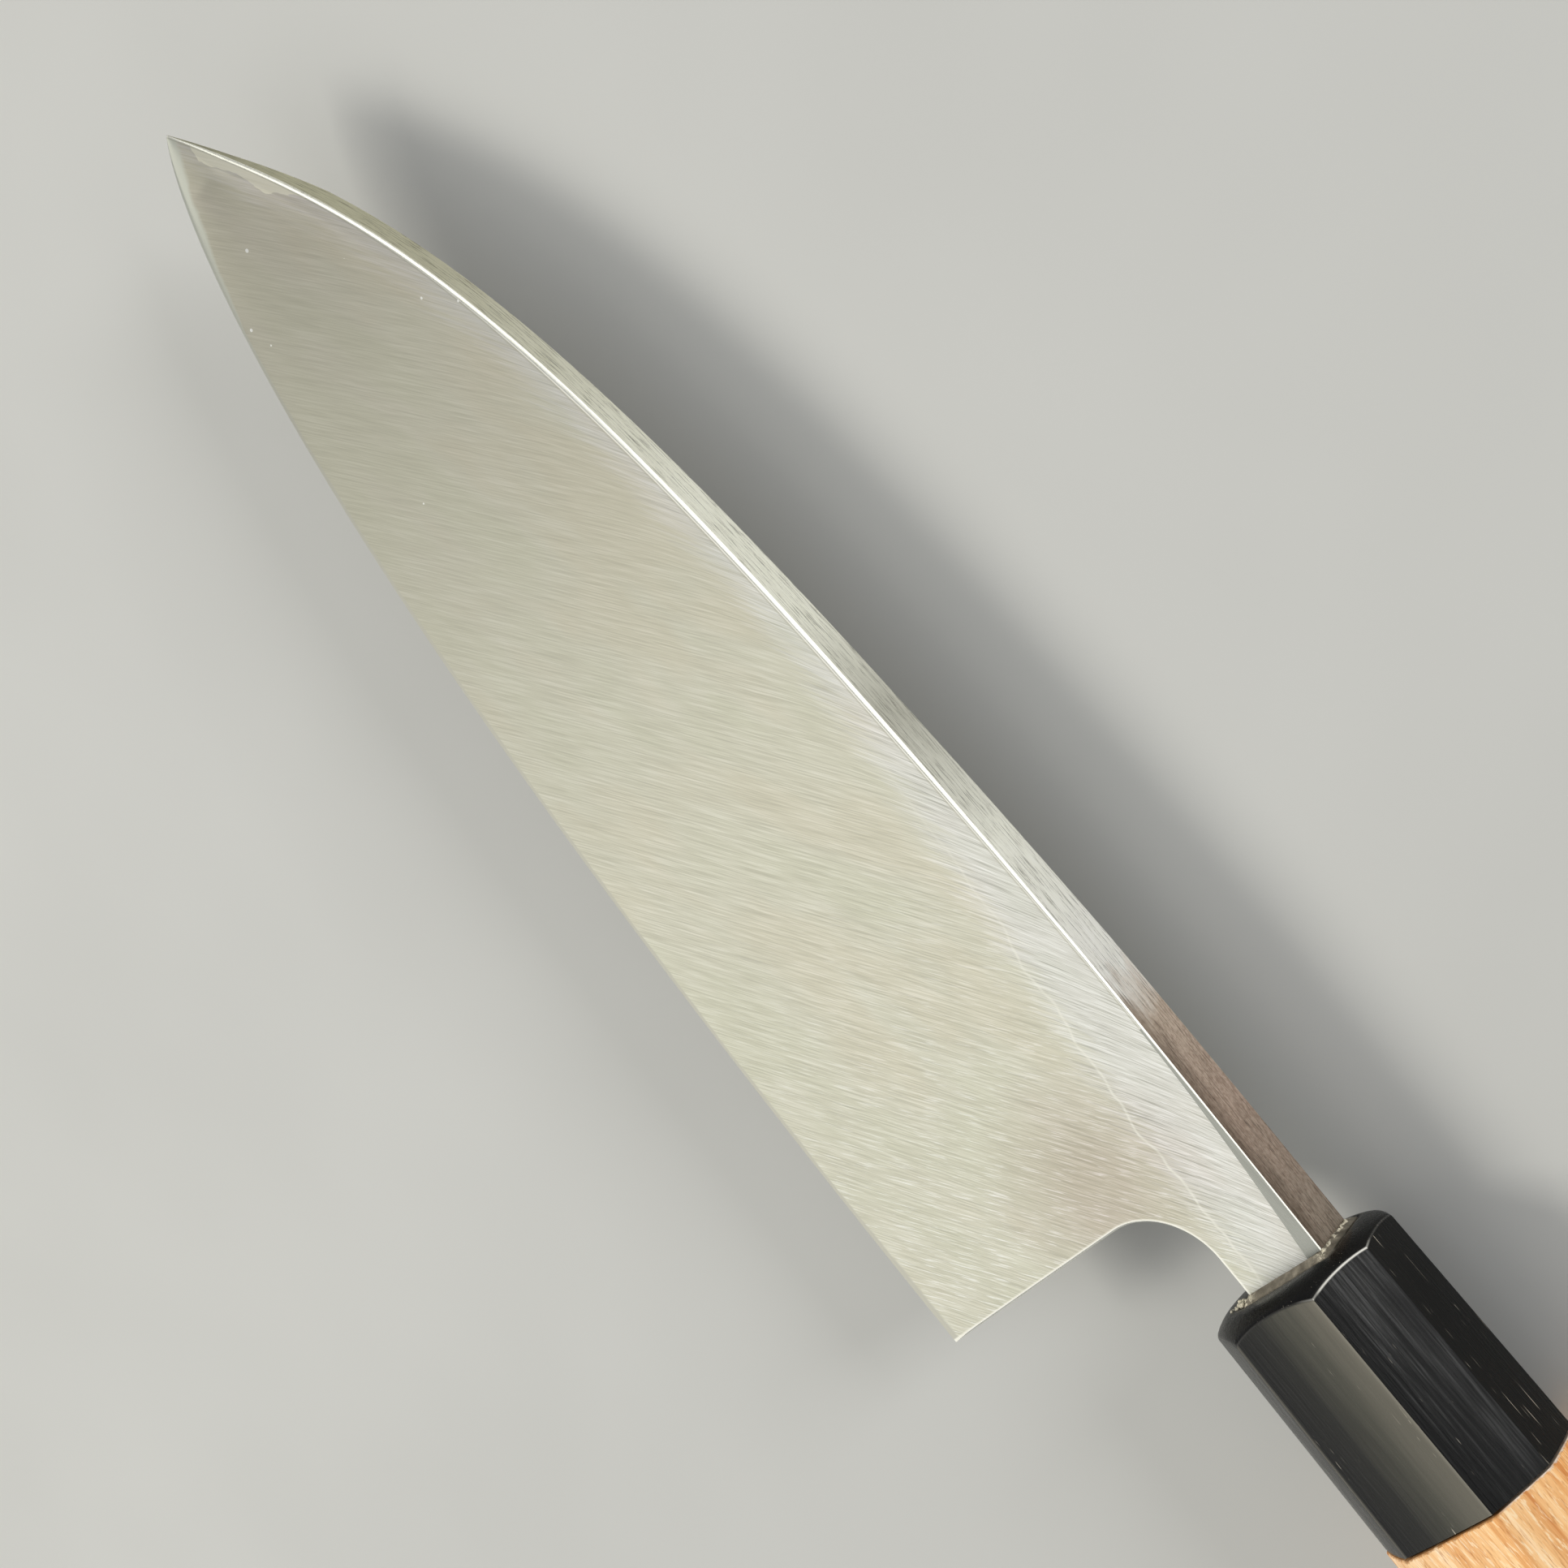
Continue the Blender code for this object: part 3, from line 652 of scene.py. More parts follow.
def filler_mesh():
    """The filler round the neck: a closed loop of rows from the steel out to the mouth's wall.

    Its front climbs the steel with the 1.3th power of the way from the wall, sinks towards the wall with
    the square of the way from the steel, and gains sums of sines round the neck as waves and grain.
    Crumbs of it stick on the ferrule by the choil and along the steel by the spine.
    """
    angle = np.linspace(0.0, 2 * math.pi, 241)[:-1]
    depth = 3.0
    across = np.linspace(0.0, 1.0, 11)
    rows = [placed(depth, mouth_ring(angle, 0.03, 22.0))]
    for i, share in enumerate(across):
        ring = mouth_ring(angle, 0.03 + (MOUTH_WALL - 0.05) * share, 22.0 - 8 * share)
        sink = 0.30 * share ** 2 + 0.12 * waves(angle, 5, 26) * (0.4 + share * (1 - share) * 2.4)
        grain = 0.02 * waves(angle, 40 + i, 90)
        x = np.clip(-0.46 * (1 - share) ** 1.3 - 0.06 + 0.5 * sink + grain, -0.8, 1.0)
        rows.append(placed(x, ring))
    rows.append(placed(depth, mouth_ring(angle, MOUTH_WALL - 0.02)))
    points = np.stack(rows)
    index = numbered(points)
    faces = quads(np.concatenate([index, index[:1]]), around=True).tolist()

    chance = np.random.default_rng(12)
    by_choil, by_spine = 30, 34
    y = np.concatenate([chance.normal(NECK_Y - 1.8, 0.6, by_choil),
                        NECK_MIDDLE[0] + NECK_HALF[0] + chance.uniform(0.0, 0.45, by_spine)])
    z = np.concatenate([chance.normal(3.1, 0.7, by_choil), chance.uniform(-3.4, 3.7, by_spine)])
    x = dome_x(y, z) - np.where(y > 0, 0.36, 0.05)
    lumps, lump_faces = crumb_lumps(np.stack([x, y, z], -1), chance.uniform(0.09, 0.27, len(x)), chance)
    faces += [[corner + index.size for corner in face] for face in lump_faces]
    crumb = np.concatenate([np.zeros(index.size), np.ones(len(lumps))])
    return np.concatenate([points.reshape(-1, 3), lumps]), faces, crumb


# Materials

COLOUR = {"data_type": "RGBA"}
MULTIPLIED = {"data_type": "RGBA", "blend_type": "MULTIPLY"}
TIMES, MINUS = {"operation": "MULTIPLY"}, {"operation": "SUBTRACT"}


def new_material(name):
    """A node material with its shader, and with add_node and drawn_noise made ready for its nodes.

    The name says what the real one is.
    """
    material = bpy.data.materials.new(name)
    material.use_nodes = True
    add = functools.partial(add_node, material.node_tree)
    return material, material.node_tree.nodes["Principled BSDF"], add, functools.partial(drawn_noise, add)


def drawn_noise(add, run, width, depth=None, turn=0.0, detail=3.0):
    """Noise drawn out along a direction in the flat back's plane, turned from the handle's axis.

    Run is its length that way, width and depth are its sizes across and through, in millimetres.
    Without a depth it follows the hairlines of the grain map instead, turned a little from them.
    """
    if depth:
        place, shift, unit = add("TexCoord").outputs["Object"], AXIS.tolist(), MM
    else:
        place, shift, unit, depth = add("UVMap", uv_map="grain"), (0.0, 0.0, 0.0), 1 / GRAIN_SPAN, 1.0
    sizes = (run * unit, width * unit, depth * unit)
    turned = add("Mapping", place, shift, (0.0, 0.0, math.radians(turn)), sizes, vector_type="TEXTURE")
    return add("TexNoise", turned, 1.0, detail, 0.6)


def handle_place(add):
    """Object coordinates in millimetres from the handle's axis and the ferrule's front, as three values."""
    moved = add("Mapping", add("TexCoord").outputs["Object"], AXIS.tolist(), (0.0, 0.0, 0.0), (MM, MM, MM),
                vector_type="TEXTURE")
    return add("SeparateXYZ", moved).outputs


def wavering(add, value, noise, by):
    """A value that a noise moves up and down, by the given amount at most."""
    return add("Math", value, add("MapRange", noise, 0.3, 0.7, -by, by))


def surface(shader, add, tone, height, relief, rough=None):
    """Links the colour, the roughness where it varies, and a bump whose relief is in millimetres."""
    bump = add("Bump", 1.0, relief * MM, named={"Height": height})
    for key, node in (("Base Color", tone), ("Roughness", rough), ("Normal", bump)):
        if node is not None:
            shader.id_data.links.new(next(s for s in node.outputs if s.enabled), shader.inputs[key])


def hairlines(shader, add, strength):
    """Spreads the gloss across the hairlines, whose way is the first direction of the grain map."""
    way = add("Tangent", direction_type="UV_MAP", uv_map="grain")
    shader.id_data.links.new(way.outputs[0], shader.inputs["Tangent"])
    shader.inputs["Anisotropic"].default_value = strength
    shader.inputs["Anisotropic Rotation"].default_value = 0.25


def ground_back_steel():
    """Carbon steel, hollow ground and finished on a fine stone: slanted hairlines over a satin metal.

    The real hairlines are about 0.05 mm apart; they are drawn 0.17 mm and wider so that they show.
    """
    material, shader, add, noise = new_material("carbon_steel_stone_ground_back")
    x, y = handle_place(add)[:2]
    over_edge, under_spine, over_hollow, inside_heel = (
        add("Attribute", attribute_name=key).outputs["Fac"]
        for key in ("over_edge", "under_spine", "over_hollow", "inside_heel"))
    hair = noise(7.0, 0.17, detail=5.0)
    band = noise(12.0, 0.45, turn=3.0)
    coarse = noise(10.0, 0.4, turn=-4.0)
    cloud = noise(24.0, 10.0, 10.0, 20.0, 2.0)

    # Hairlines are stronger in the strip under the spine than in the hollow
    fresh = add("MapRange", x, -150.0, -70.0, 0.45, 1.0)
    strip = add("MapRange", wavering(add, over_hollow, coarse, 2.0), -2.6, 1.6)
    both = add("Mix", 0.3, add("MapRange", hair, 0.36, 0.64), add("MapRange", band, 0.35, 0.65))
    both = add("Mix", fresh, 0.5, both)
    tones = [add("ValToRGB", both, stops=stops) for stops in (
        {0.0: "BBB9A7", 0.5: "D1CFBC", 1.0: "E7E5D6"},
        {0.0: "A9A89E", 0.35: "D4D3C9", 0.7: "E7E6DE", 1.0: "FEFDF8"})]
    tone = add("Mix", strip, *tones, **COLOUR)

    # By the neck single hairlines carry painted white glints
    painted_glints = add("Math", add("MapRange", noise(4.0, 0.2, turn=5.0), 0.56, 0.64, 0.0, 0.6),
                 add("MapRange", x, -75.0, -20.0), **TIMES)
    tone = add("Mix", painted_glints, tone, "FFFFFA", **COLOUR)

    # Old steel carries a faint pink and green tint in patches some centimetres wide
    tint = add("ValToRGB", cloud, stops={0.38: "FDFEFC", 0.5: "FFFFFF", 0.62: "FFFDFB"})
    # Painted shade: a little darker between the tip and mid-blade, where the reflection is dimmer
    painted_tip_shade = add("ValToRGB", add("MapRange", x, -178.0, -78.0), stops={
        0.0: "FBF7F7", 0.12: "F6F2F2", 0.25: "F1EFEF", 0.55: "F1F0F0", 0.8: "F9F9F9", 1.0: "FFFFFF"})
    # Round the arch it has gone a shade browner
    from_arch = add("VectorMath", add("CombineXYZ", x, y), (-19.0, -11.0, 0.0), operation="DISTANCE")
    stained = add("Mix", add("MapRange", from_arch, 3.0, 16.0, 1.0, 0.0), "FFFFFF", "EEE6E6", **COLOUR)
    for shade in (tint, painted_tip_shade, stained):
        tone = add("Mix", 1.0, tone, shade, **MULTIPLIED)

    # The hollow's upper border: a painted highlight line that wanders a little and starts at mid-blade
    wander = wavering(add, over_hollow, noise(9.0, 40.0, 40.0, 0.0, 2.0), 0.7)
    border = add("MapRange", add("Math", wander, operation="ABSOLUTE"), 0.04, 0.26, 0.7, 0.0)
    for part in (add("MapRange", x, -75.0, -35.0), add("MapRange", coarse, 0.3, 0.62, 0.25)):
        border = add("Math", border, part, **TIMES)
    tone = add("Mix", border, tone, "F2F0E4", **COLOUR)

    # The rim at the cutting edge is honed flat: a dark even strip, wider at the tip and at the heel
    width = add("Math", add("MapRange", x, -178.0, -157.0, 2.3, 0.5),
                add("MapRange", x, -34.0, -14.0, 0.0, 0.4))
    uneven = add("MapRange", noise(5.0, 30.0, 30.0), 0.3, 0.7, 0.8, 1.2)
    width = add("Math", width, uneven, **TIMES)
    honed = add("MapRange", add("Math", over_edge, width, operation="DIVIDE"), 0.7, 1.1, 1.0, 0.0)
    rim = add("ValToRGB", add("MapRange", x, -172.0, -146.0), stops={0.0: "D9DACB", 1.0: "C0BEB0"})
    tone = add("Mix", honed, tone, rim, **COLOUR)

    # A paler patch that the stone left along the spine near the tip
    depth = add("ValToRGB", add("MapRange", x, -176.0, -158.0), stops={
        0.0: "000000", 0.12: "9A9A9A", 0.4: "828282", 0.62: "A2A2A2", 0.8: "5A5A5A", 1.0: "000000"})
    patch = add("MapRange", depth, 0.0, 1.0, 0.0, 6.4)
    patch = wavering(add, patch, noise(3.0, 1.2, 1.2, 30.0, 2.0), 0.3)
    patch = add("MapRange", add("Math", patch, under_spine, **MINUS), -0.02, 0.1, 0.0, 0.6)
    tone = add("Mix", patch, tone, "F8F4DC", **COLOUR)

    # Along the corner at the spine lies a painted cream highlight line, widest halfway, with a painted olive
    # shade line below it
    line = add("ValToRGB", add("MapRange", x, -178.0, -20.0), stops={
        0.0: "888888", 0.35: "C8C8C8", 0.7: "C0C0C0", 1.0: "808080"})
    above = add("Math", line, under_spine, **MINUS)
    for low, high, most, colour in ((-0.28, -0.12, 0.4, "A3A18A"), (-0.06, 0.08, 0.9, "FFFDF0")):
        tone = add("Mix", add("MapRange", above, low, high, 0.0, most), tone, colour, **COLOUR)

    # A painted bright highlight lies along the heel's and the arch's corner too
    tone = add("Mix", add("MapRange", inside_heel, 0.3, 0.5, 0.75, 0.0), tone, "FFFDF0", **COLOUR)

    # A few pale pits near the tip and dark points under the spine, 0.7 mm across at most
    by_spine = add("Math", add("MapRange", under_spine, 0.6, 6.0, 0.045, 0.0),
                   add("MapRange", x, -75.0, -65.0, 1.0, 0.0), **TIMES)
    for scale, reach, colour in ((240.0, add("MapRange", x, -175.0, -95.0, 0.07, 0.0), "F6F5EE"),
                                 (130.0, by_spine, "4E4D46")):
        cells = add("TexVoronoi", add("TexCoord").outputs["Object"], scale).outputs["Distance"]
        tone = add("Mix", add("Math", cells, reach, operation="LESS_THAN"), tone, colour, **COLOUR)

    shader.inputs["Metallic"].default_value = 1.0
    rough = add("Mix", honed, add("MapRange", both, 0.0, 1.0, 0.28, 0.44), 0.3)
    surface(shader, add, tone, add("Mix", 0.3, hair, coarse), 0.010, rough)
    hairlines(shader, add, 0.55)
    return material


def ground_steel(name, turn, tones, roughness, run=18.0, width=0.22, across=0.22, relief=0.008):
    """Carbon steel ground along one direction: hairlines that way over a satin metal."""
    material, shader, add, noise = new_material(name)
    hair = noise(run, width, across, turn, 4.0)
    band = noise(run * 3, width * 6, across * 6, turn, 2.0)
    even = add("MapRange", add("Mix", 0.4, hair, band), 0.36, 0.64)
    tone = add("ValToRGB", even, stops={i / (len(tones) - 1): t for i, t in enumerate(tones)})
    shader.inputs["Metallic"].default_value = 1.0
    surface(shader, add, tone, hair, relief, add("MapRange", even, 0.0, 1.0, *roughness))
    hairlines(shader, add, 0.5)
    return material


def spine_steel():
    """Carbon steel spine, ground lengthwise: long hairlines under a painted reflection, olive at the tip,
    bright in the middle and brown at the neck.
    """
    material, shader, add, noise = new_material("carbon_steel_lengthwise_ground_spine")
    along = add("Attribute", attribute_name="along_spine").outputs["Fac"]
    x, _, z = handle_place(add)
    line = add("CombineXYZ", add("Math", along, 4.5, operation="DIVIDE"),
               add("Math", z, 0.22, operation="DIVIDE"))
    hair = add("TexNoise", line, 1.0, 6.0, 0.75)
    even = add("MapRange", hair, 0.34, 0.66)
    cloud = noise(5.0, 1.2, 1.2, 0.0, 3.0)
    reach = add("MapRange", wavering(add, x, cloud, 2.5), -179.0, 0.0)
    # Painted reflection along the spine: olive at the tip, bright in the middle with a duller stretch, and
    # brown towards the neck
    colour = add("ValToRGB", reach, stops={
        0.0: "B0AE98", 0.08: "D2D0B8", 0.2: "D8D6C2", 0.4: "FFFFF4", 0.51: "FFFFF4",
        0.59: "D4D3C8", 0.69: "FFFFF6", 0.79: "FFFEFA",
        0.83: "DECEBE", 0.9: "CFBBAC", 1.0: "B2A698"})

    # The painted brown reflection is darker beside the flat back and finely mottled
    brown_reflection = add("MapRange", reach, 0.79, 0.85)
    beside = add("MapRange", wavering(add, z, cloud, 0.6), 0.2, 2.6, 0.0, 0.6)
    colour = add("Mix", add("Math", brown_reflection, beside, **TIMES), colour, "7E6E5F", **COLOUR)
    grain = add("ValToRGB", noise(0.6, 0.3, 0.3, 0.0, 3.0), stops={0.36: "E0DBD8", 0.6: "FFFFFF"})
    colour = add("Mix", brown_reflection, colour, add("Mix", 1.0, colour, grain, **MULTIPLIED), **COLOUR)
    streak = add("ValToRGB", even, stops={0.0: "6C6A66", 0.22: "B8B6B1", 0.42: "F4F3F0", 1.0: "FFFFFF"})
    tone = add("Mix", 0.75, colour, streak, **MULTIPLIED)
    shader.inputs["Metallic"].default_value = 1.0
    surface(shader, add, tone, hair, 0.012, add("MapRange", even, 0.0, 1.0, 0.72, 0.6))
    hairlines(shader, add, 0.85)
    return material


def bevel_steel():
    """Laminated bevel, honed on stones: a bright hard edge below a wavy border, hazy iron above."""
    material, shader, add, noise = new_material("laminated_steel_honed_bevel")
    over_edge = add("Attribute", attribute_name="over_edge").outputs["Fac"]
    hair = noise(14.0, 0.25, 0.25, 62.0, 4.0)
    haze = noise(6.0, 2.2, 2.2, 10.0, 4.0)
    border = wavering(add, over_edge, noise(7.0, 30.0, 30.0, 0.0, 3.0), 1.8)
    hard = add("MapRange", border, 8.3, 9.1, 1.0, 0.0)
    iron = add("ValToRGB", add("MapRange", haze, 0.3, 0.7),
               stops={0.0: "8C8B84", 0.5: "A19F97", 1.0: "B3B1A8"})
    edge = add("ValToRGB", add("MapRange", hair, 0.32, 0.68), stops={0.0: "B7B5AA", 1.0: "DAD8CC"})
    shader.inputs["Metallic"].default_value = 1.0
    surface(shader, add, add("Mix", hard, iron, edge, **COLOUR), hair, 0.006, add("Mix", hard, 0.46, 0.26))
    return material


def black_wood():
    """Magnolia wood stained black, sanded and oiled: a soft satin sheen over faint lengthwise pores.

    The two broad flats carry a painted reflection: greener and paler towards the spine.
    """
    material, shader, add, noise = new_material("magnolia_wood_stained_black")
    x, y = handle_place(add)[:2]
    facing = add("SeparateXYZ", add("TexCoord").outputs["Normal"]).outputs
    flat = add("MapRange", add("Math", facing["Z"], operation="ABSOLUTE"), 0.93, 0.985)
    pores = noise(6.0, 0.3, 0.3, 0.0, 4.0)
    bands = noise(30.0, 1.6, 1.6, 0.0, 4.0)
    even = add("MapRange", add("Mix", 0.35, pores, bands), 0.33, 0.67)
    tone = add("ValToRGB", even, stops={0.0: "020202", 0.6: "070605", 1.0: "100F0E"})

    # The slanted flats show the wood's fibres as fine grey streaks of painted sheen that fade towards the
    # grip
    aslant = add("Math", facing["Y"], facing["Z"], **TIMES)
    slanted = add("MapRange", add("Math", aslant, operation="ABSOLUTE"), 0.3, 0.45)
    mixed = add("Mix", 0.5, noise(9.0, 0.3, 0.3, 0.0, 4.0), noise(34.0, 0.8, 0.8, 0.0, 3.0))
    fibres = add("ValToRGB", add("MapRange", mixed, 0.36, 0.66), stops={
        0.0: "010101", 0.35: "090909", 0.6: "222221", 1.0: "4C4C4B"})
    sheen_fade = add("ValToRGB", add("MapRange", x, 2.0, FERRULE_LENGTH), stops={
        0.0: "FFFFFF", 0.5: "D8D8D8", 1.0: "A0A0A0"})
    tone = add("Mix", slanted, tone, add("Mix", 1.0, fibres, sheen_fade, **MULTIPLIED), **COLOUR)
    # Painted reflection on the broad flats, paler and greener towards the spine
    flat_reflection = add("ValToRGB", add("MapRange", wavering(add, y, bands, 0.8), -5.5, 6.5), stops={
        0.0: "0E0E0C", 0.3: "22221E", 0.6: "47463D", 1.0: "6D695D"})
    tone = add("Mix", flat, tone, flat_reflection, **COLOUR)

    # The rolled front edge carries a painted near-white glint where two flats meet it
    front_glint = add("Attribute", attribute_name="front_edge_glint").outputs["Fac"]
    for part in (add("MapRange", aslant, 0.1, 0.28, 0.06, 1.0), add("MapRange", y, 4.0, 9.0, 0.5, 1.0)):
        front_glint = add("Math", front_glint, part, **TIMES)

    # Where flats meet, the broad one carries a painted highlight along the corner and the slanted one a
    # painted dark shade line
    corner = add("Math", x, (HANDLE_HEIGHT[1] - HANDLE_HEIGHT[0]) / 2 / HANDLE_LENGTH,
                 HANDLE_HEIGHT[0] / 2 - CORNER_LEG, operation="MULTIPLY_ADD")
    past = add("Math", add("Math", y, operation="ABSOLUTE"), corner, **MINUS)
    corner_highlight = add("Math", add("MapRange", past, -0.5, -0.1, 0.0, 0.45), flat, **TIMES)
    corner_shade = add("Math", add("MapRange", past, 0.3, 0.8, 0.85, 0.0), slanted, **TIMES)

    # Short pale nicks along the grain, and longer scratches on the flat at the spine's side
    nicks = add("Math", add("MapRange", noise(2.6, 0.14, 0.14, 0.0, 1.0), 0.71, 0.78),
                add("MapRange", noise(9.0, 2.0, 2.0, 0.0, 1.0), 0.56, 0.66), **TIMES)
    scratches = add("Math", add("MapRange", noise(8.0, 0.22, 0.22, 0.8, 1.0), 0.7, 0.75, 0.0, 0.8),
                    add("MapRange", facing["Y"], 0.8, 0.95), **TIMES)
    for share, colour in ((front_glint, "F4F1E6"), (corner_highlight, "8D897C"), (corner_shade, "030303"), (nicks, "B8B0A0"),
                          (scratches, "C4BBA9")):
        tone = add("Mix", share, tone, colour, **COLOUR)
    shader.inputs["IOR"].default_value = 1.5
    shader.inputs["Specular IOR Level"].default_value = 0.22
    surface(shader, add, tone, even, 0.025, add("MapRange", even, 0.0, 1.0, 0.38, 0.2))
    return material


def grip_wood():
    """Magnolia wood, planed and sanded bare: pale orange tan with short fine pores along the grip."""
    material, shader, add, noise = new_material("magnolia_wood_sanded_bare")
    x, y, z = handle_place(add)
    pores = noise(2.2, 0.2, 0.2, 0.0, 3.0)
    fibres = noise(2.2, 0.3, 0.3, 5.0, 3.0)
    fibres.inputs["Distortion"].default_value = 0.5
    rings = noise(40.0, 1.5, 1.5, 1.5, 5.0)
    rings.inputs["Distortion"].default_value = 0.25
    cloud = noise(24.0, 5.0, 5.0, 0.0, 3.0)
    tone = add("ValToRGB", add("MapRange", rings, 0.34, 0.66), stops={
        0.0: "D08E50", 0.35: "EBB87E", 0.7: "F9D4A2", 1.0: "FFE4BE"})
    tone = add("Mix", add("MapRange", fibres, 0.54, 0.62, 0.0, 0.7), tone, "FFEFD2", **COLOUR)
    tone = add("Mix", add("MapRange", pores, 0.3, 0.45, 0.7, 0.0), tone, "B87A42", **COLOUR)

    # Towards the spine and in patches it is redder, as near the heart of the tree
    warm = add("ValToRGB", add("MapRange", wavering(add, y, cloud, 7.0), -8.0, 12.0), stops={
        0.0: "FAF4EE", 0.5: "FFF4E2", 1.0: "FFE6C4"})
    tone = add("Mix", 1.0, tone, warm, **MULTIPLIED)

    # The butt shows end grain: curved growth rings 1.7 mm apart round a far heart, and fine open pores
    facing = add("SeparateXYZ", add("TexCoord").outputs["Normal"]).outputs
    sawn = add("MapRange", facing["X"], 0.75, 0.95)
    far = add("VectorMath", add("CombineXYZ", 0.0, y, z), (0.0, -31.0, -22.0), operation="DISTANCE")
    turns = add("Math", wavering(add, far, cloud, 0.5), 2 * math.pi / 1.7, **TIMES)
    late = add("MapRange", add("Math", turns, operation="SINE"), -0.6, 1.0)
    pored = add("MapRange", noise(0.35, 0.35, 0.35, 0.0, 2.0), 0.36, 0.46, 0.45, 0.0)
    end = add("ValToRGB", late, stops={0.0: "EDC99C", 0.6: "E6BC8A", 1.0: "D3A06A"})
    tone = add("Mix", sawn, tone, add("Mix", pored, end, "A87444", **COLOUR), **COLOUR)

    # The joint with the ferrule: a dark hairline, and towards the spine a ragged painted highlight where the
    # wood's proud edge catches the light
    off = wavering(add, add("Math", x, WOOD_START, **MINUS),
                   noise(1.2, 0.7, 0.7, 0.0, 3.0), 0.16)
    line = add("Mix", add("MapRange", y, 6.5, 8.5), "A4713F", "F8E6D2", **COLOUR)
    tone = add("Mix", add("MapRange", off, 0.02, 0.2, 0.9, 0.0), tone, line, **COLOUR)
    surface(shader, add, tone, pores, 0.03, add("MapRange", pores, 0.3, 0.7, 0.68, 0.55))
    return material


def neck_filler():
    """Hardened resin filler, pressed in by hand: grey brown, dull, with pale crumbs and small pits."""
    material, shader, add, noise = new_material("resin_filler_pressed_in")
    y = handle_place(add)[1]
    lumps = noise(1.4, 1.4, 1.4, 0.0, 5.0)
    tone = add("ValToRGB", add("MapRange", lumps, 0.3, 0.7), stops={
        0.0: "554E41", 0.45: "6F685A", 0.75: "877F6F", 1.0: "9C9483"})

    # Crumbs of pale filler lie at the neck's two ends, by the spine and by the choil
    off = add("Math", add("Math", y, NECK_MIDDLE[0], **MINUS), operation="ABSOLUTE")
    past = add("Math", y, NECK_MIDDLE[0] + NECK_HALF[0], **MINUS)
    crumbs = add("MapRange", off, NECK_HALF[0] - 1.4, NECK_HALF[0] + 0.2)
    for part in (add("MapRange", past, 0.3, 0.6, 1.0, 0.0),
                 add("MapRange", noise(0.55, 0.45, 0.45, 0.0, 4.0), 0.51, 0.58)):
        crumbs = add("Math", crumbs, part, **TIMES)
    lump = add("Attribute", attribute_name="crumb").outputs["Fac"]
    crumbs = add("Math", crumbs, add("Math", lump, 0.9, **TIMES), operation="MAXIMUM")
    shader.inputs["Roughness"].default_value = 0.5
    surface(shader, add, add("Mix", crumbs, tone, "DCD4BC", **COLOUR), lumps, 0.07)
    return material


def dowel_wood():
    """Beech dowel, turned: pale wood with short dark rays and faint rings round it from the tool."""
    material, shader, add, noise = new_material("beech_turned")
    rays = noise(2.0, 0.2, 0.5, 0.0, 2.0)
    rings = noise(40.0, 1.5, 1.5, 0.0, 3.0)
    tone = add("ValToRGB", rings, stops={0.35: "C9A06C", 0.65: "DDBB8A"})
    tone = add("Mix", add("MapRange", rays, 0.3, 0.42, 0.45, 0.0), tone, "8E6238", **COLOUR)
    shader.inputs["Roughness"].default_value = 0.62
    surface(shader, add, tone, noise(0.5, 60.0, 60.0, 0.0, 1.0), 0.03)
    return material


def bedding_resin():
    """Poured resin, cast round the tang: amber brown and smooth with a few cloudy places."""
    material, shader, add, noise = new_material("cast_resin")
    cloud = noise(6.0, 3.0, 3.0, 0.0, 4.0)
    shader.inputs["Roughness"].default_value = 0.38
    shader.inputs["IOR"].default_value = 1.55
    surface(shader, add, add("ValToRGB", cloud, stops={0.3: "7C6139", 0.7: "B49563"}), cloud, 0.05)
    return material


def floor_paint():
    """Matt painted board, rolled: an even pale grey."""
    material, shader, add, noise = new_material("matt_paint_rolled")
    shade = noise(60.0, 60.0, 60.0, 0.0, 2.0)
    tone = add("ValToRGB", shade, stops={0.3: "BDBDB8", 0.7: "C1C1BC"})
    shader.id_data.links.new(tone.outputs[0], shader.inputs["Base Color"])
    shader.inputs["Roughness"].default_value = 0.9
    return material


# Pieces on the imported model

# One steel per zone of the blade
steels = (
    ground_back_steel(),
    ground_steel("carbon_steel_polished_corner", 0.0, ("F2F0E2", "FFFEF4"), (0.26, 0.32), relief=0.002),
    ground_steel("carbon_steel_honed_edge", 0.0, ("B9B7AA", "D2D0C2"), (0.34, 0.42), relief=0.002),
    spine_steel(),
    ground_steel("carbon_steel_polished_choil", 0.0, ("8B897F", "BDBBAF"), (0.24, 0.34), 0.25, 0.25, 8.0),
    ground_steel("carbon_steel_satin_face", 84.0, ("A9A79B", "BCBAAD", "CCCABD"), (0.32, 0.42),
                 20.0, 0.3, 2.0),
    bevel_steel(),
    ground_steel("carbon_steel_polished_facet", 2.0, ("A0A198", "ACADA4"), (0.24, 0.3), relief=0.002))
points, faces, zones, heights = blade_mesh()
blade = mesh_piece("blade_ground", points, faces, steels, zones, heights, sharp=14.0,
                   grain=functools.partial(blade_grain, heights))
points, faces, glint_row = ferrule_mesh()
ferrule = mesh_piece("ferrule_shaped", points, faces, (black_wood(),), attributes={"front_edge_glint": glint_row},
                     sharp=24.0)
grip = mesh_piece("grip_shaped", *grip_mesh(), (grip_wood(),), sharp=24.0)
points, faces, crumb = filler_mesh()
filler = mesh_piece("neck_filler_bead", points, faces, (neck_filler(),), attributes={"crumb": crumb},
                    sharp=60.0)
for piece, node, slot in ((blade, "blade", "satin_steel"), (ferrule, "ferrule", "black_wood"),
                          (grip, "handle_body", "grip_wood"), (filler, "neck_seal", "neck_filler")):
    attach(piece, "root")
    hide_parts(node)
for node, material in (("dowel", dowel_wood()), ("tang_bedding", bedding_resin())):
    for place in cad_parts[node].material_slots:
        place.material = material


# Floor, light and camera

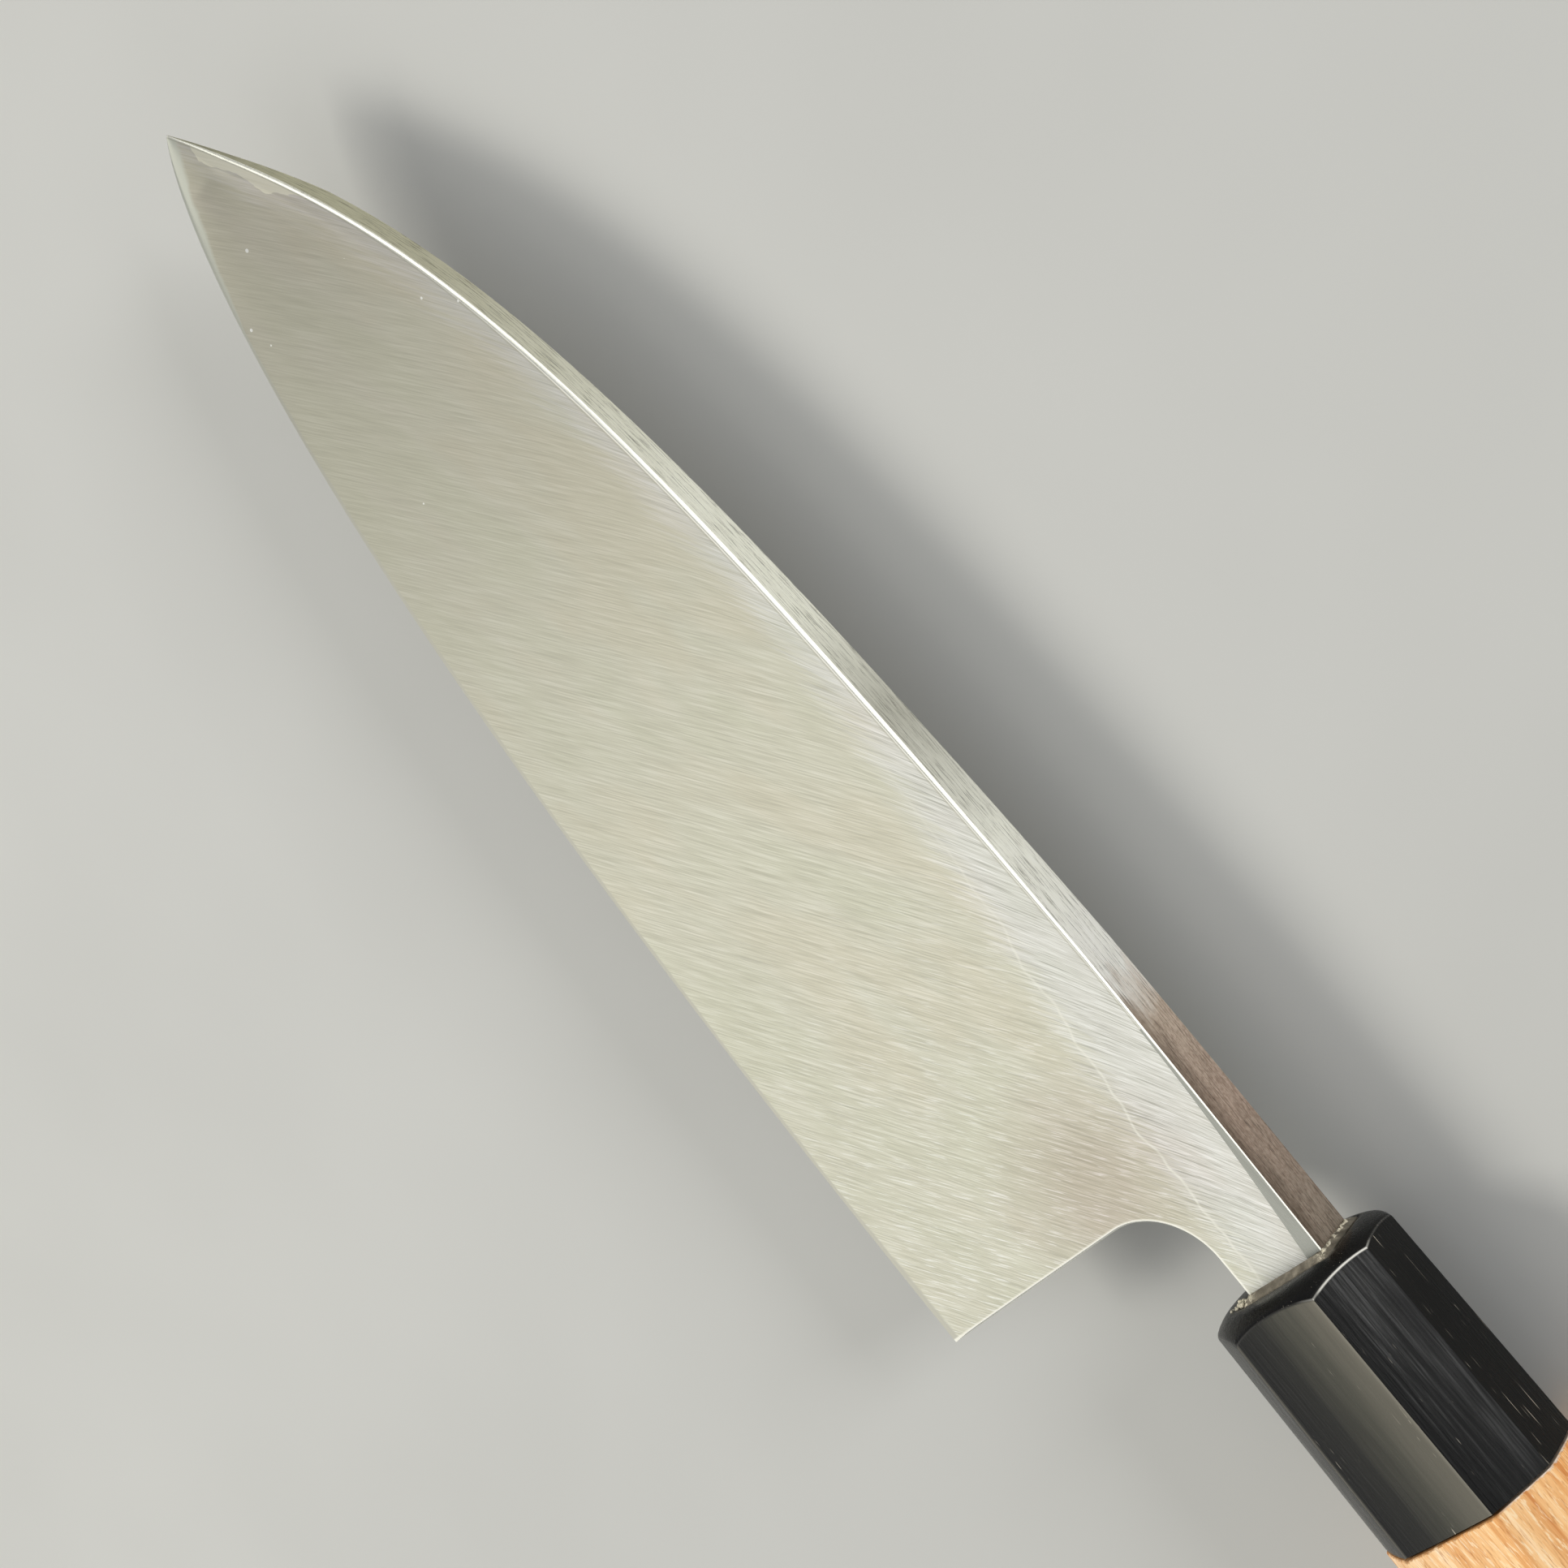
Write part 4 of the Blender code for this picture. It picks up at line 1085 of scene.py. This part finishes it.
# In metres: half the floor's side, and how far it lies under the knife
FLOOR_HALF, FLOOR_DROP = 3.0, 0.0002
board = bpy.data.meshes.new("floor_board")
board.from_pydata([(x * FLOOR_HALF, y * FLOOR_HALF, -FLOOR_DROP)
                   for x, y in ((-1, -1), (1, -1), (1, 1), (-1, 1))], [], [(0, 1, 2, 3)])
board.materials.append(floor_paint())
floor = bpy.data.objects.new("floor_board", board)
bpy.context.scene.collection.objects.link(floor)

world = bpy.data.worlds.new("plain_studio")
world.use_nodes = True
world.node_tree.nodes["Background"].inputs["Color"].default_value = (0.95, 0.97, 1.0, 1.0)
world.node_tree.nodes["Background"].inputs["Strength"].default_value = 0.42
bpy.context.scene.world = world


def soft_light(name, direction, distance, size, power, colour, shows="both"):
    """A soft light that looks at the knife from a direction, its size as width and height.

    It shows in both, or it only lights matt surfaces, or it is a card that only glosses see.
    """
    data = bpy.data.lights.new(name, "AREA")
    data.shape, data.size, data.size_y = "RECTANGLE", *size
    data.energy, data.color = power, linear(colour)[:3]
    lamp = bpy.data.objects.new(name, data)
    way = Vector(direction).normalized()
    lamp.matrix_world = Matrix.LocRotScale(way * distance, way.to_track_quat("Z", "Y"), None)
    lamp.visible_glossy, lamp.visible_diffuse = shows != "matt", shows != "gloss"
    bpy.context.scene.collection.objects.link(lamp)


soft_light("key", (-0.44, -0.63, 0.64), 1.8, (0.55, 0.55), 20.0, "FFFCF6", "matt")
soft_light("fill", (0.0, 0.93, 0.38), 1.8, (0.5, 0.5), 17.0, "FCFCFF", "matt")
soft_light("card", (0.06, -0.50, 0.86), 1.6, (1.5, 1.5), 4.2, "FFFDF8")
soft_light("spine_card", (-0.05, 0.81, 0.58), 1.8, (1.3, 0.6), 3.8, "FFFFFA", "gloss")
soft_light("tip_card", (-0.74, 0.50, 0.42), 1.8, (1.1, 0.6), 3.2, "FFFEF4", "gloss")
soft_light("low_card", (-0.15, 0.97, 0.26), 1.8, (1.8, 0.75), 5.1, "FFFFFF", "gloss")
soft_light("edge_card", (0.1, -0.92, 0.38), 1.6, (1.2, 0.8), 3.6, "FFFDF8", "gloss")

camera = bpy.data.cameras.new("camera")
camera.sensor_width, camera.lens = 36.0, LENS
camera.clip_start, camera.clip_end = 0.01, 20.0
eye = bpy.data.objects.new("camera", camera)
right, up = Vector(VIEW_RIGHT), Vector(VIEW_UP)
turn = Matrix((right, up, right.cross(up))).transposed()
eye.matrix_world = Matrix.Translation(Vector(np.array(EYE) * MM + AXIS)) @ turn.to_4x4()
bpy.context.scene.collection.objects.link(eye)
bpy.context.scene.camera = eye
bpy.context.scene.view_settings.view_transform = "Standard"
